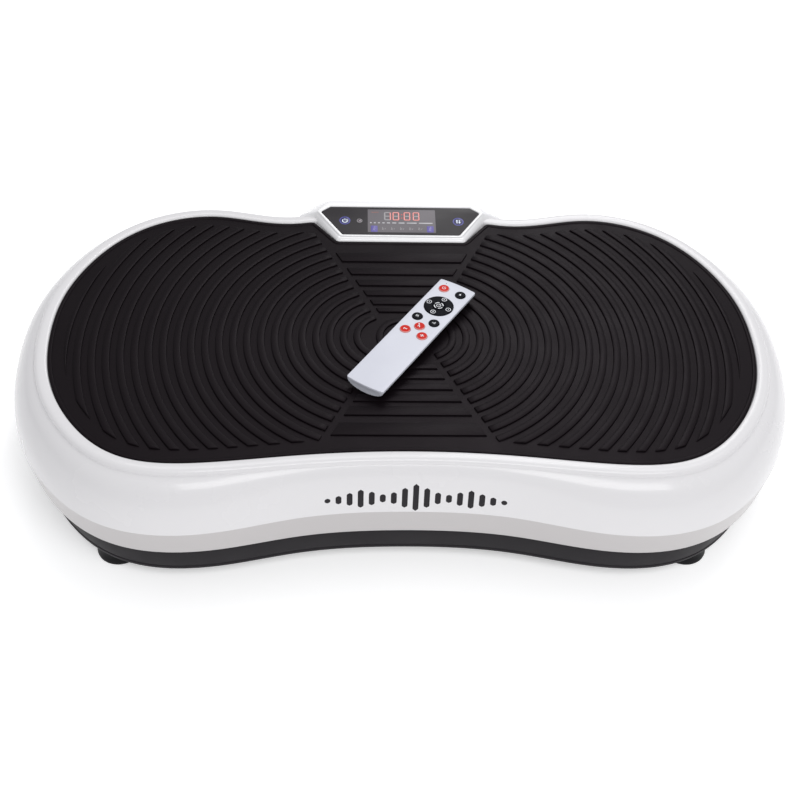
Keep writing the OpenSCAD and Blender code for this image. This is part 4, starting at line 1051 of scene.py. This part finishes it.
for name, (colour, rim), marks in (
    ("key_power", RED, POWER), ("key_mute", BLACK, WEDGE), ("key_f", BLACK, CHEVRONS),
    ("key_m", BLACK, STEPS), ("key_start", RED, RUN), ("key_minus", RED, MINUS), ("key_plus", RED, PLUS),
):
    key_cap(name, ROUND_KEYS[name], KEY_R, colour, marks, rim=rim)

# the direction ring, with a ringed sign on each of its four sides
RING_SECTION = [(OK_R + KEY_PLAY, KEY_BASE), (RING_R, KEY_BASE), (RING_R, RING_TOP - 0.6),
                (RING_R - 0.15, RING_TOP - 0.3), (RING_R - 0.6, RING_TOP - 0.1), (RING_R - 2, RING_TOP),
                (OK_R + 1.2, RING_TOP), (OK_R + 0.6, RING_TOP - 0.1), (OK_R + KEY_PLAY, RING_TOP - 0.4)]
SIGN_AT = 10.4
build = Build()
build.torus_loft([on_face(circle(r, 72, *RING_AT), z) for r, z in RING_SECTION])
for k in range(4):
    a = k * math.pi / 2
    at = (RING_AT[0] + SIGN_AT * math.cos(a), RING_AT[1] + SIGN_AT * math.sin(a))
    ring_mark(0, 0, 1.95, 2.5)(build, at, RING_TOP, 1)
    line_mark(bar(-0.9, -0.2, 0.9, 0.2, 0.5))(build, at, RING_TOP, 1)
    if k % 2 == 0:
        line_mark(bar(-0.1, -0.9, 0.1, 0.9, 0.45))(build, at, RING_TOP + INK_UP / 2, 1)
build.piece("key_ring_cap", [KEY_BLACK, INK_WHITE], "key_ring_cap", stands_for=["key_ring"],
            slot="key_black", angle=50)
OK_ARCS = [ring_mark(0, 0, 3.75, 4.55, (math.radians(20 + 90 * k), math.radians(62))) for k in range(4)]
key_cap("key_ok", RING_AT, OK_R, KEY_BLACK,
        OK_ARCS + [ring_mark(0, 0, 1.75, 2.3), line_mark(bar(-0.2, 0, 3.0, 0, 0.5))])

# ------------------------------ camera
CAMERA_AT = (-0.0495, -0.8575, 0.8929)
CAMERA_TURN = (45.158, -1.839, -1.388)  # degrees about x, y and z
camera_data = bpy.data.cameras.new("camera")
camera_data.lens = 55.09
camera_data.sensor_width = 36.0
camera = new_object("camera", camera_data)
camera.location = CAMERA_AT
camera.rotation_euler = [math.radians(angle) for angle in CAMERA_TURN]
bpy.context.scene.camera = camera

# ------------------------------ floor
FLOOR_HALF, FLOOR_GLOW = 9.0, 0.36
floor_finish = finish_of("studio_floor", (0.90, 0.90, 0.90), (0.92, 0.92, 0.92), (0.6, 0.7), 60,
                         (0.02, 0.1), patch=2)
floor_mesh = bpy.data.meshes.new("floor")
corners = rect(-FLOOR_HALF, -FLOOR_HALF, FLOOR_HALF, FLOOR_HALF)
floor_mesh.from_pydata(at_height(corners, 0), [], [(0, 1, 2, 3)])
floor_mesh.materials.append(glow(floor_finish, (1.0, 1.0, 1.0), FLOOR_GLOW))
floor = new_object("floor", floor_mesh)

# ------------------------------ lights
WORLD_COLOUR, WORLD_STRENGTH = (0.96, 0.97, 1.0, 1), 0.47
world = bpy.data.worlds.new("studio")
world.use_nodes = True
background = world.node_tree.nodes["Background"]
background.inputs["Color"].default_value = WORLD_COLOUR
background.inputs["Strength"].default_value = WORLD_STRENGTH
bpy.context.scene.world = world


def softbox(name, at, target, size, power):
    """A rectangular area light that faces a point."""
    light = bpy.data.lights.new(name, "AREA")
    light.shape = "RECTANGLE"
    light.size, light.size_y = size
    light.energy = power
    obj = new_object(name, light)
    at, target = Vector(at), Vector(target)
    obj.location = at
    obj.rotation_mode = "QUATERNION"
    obj.rotation_quaternion = (target - at).to_track_quat("-Z", "Y")
    obj.visible_camera = False


softbox("back_softbox", (0.3, 1.1, 2.5), (0, 0, 0.1), (2.4, 1.0), 19)
softbox("window_softbox", (0.50, 1.85, 1.85), (0.12, 0, 0.1), (0.6, 1.6), 13)
softbox("front_softbox", (0.35, -1.45, 2.0), (0.0, 0, 0.1), (1.6, 1.0), 28)

view = bpy.context.scene.view_settings
view.view_transform = "Standard"
view.look = "None"
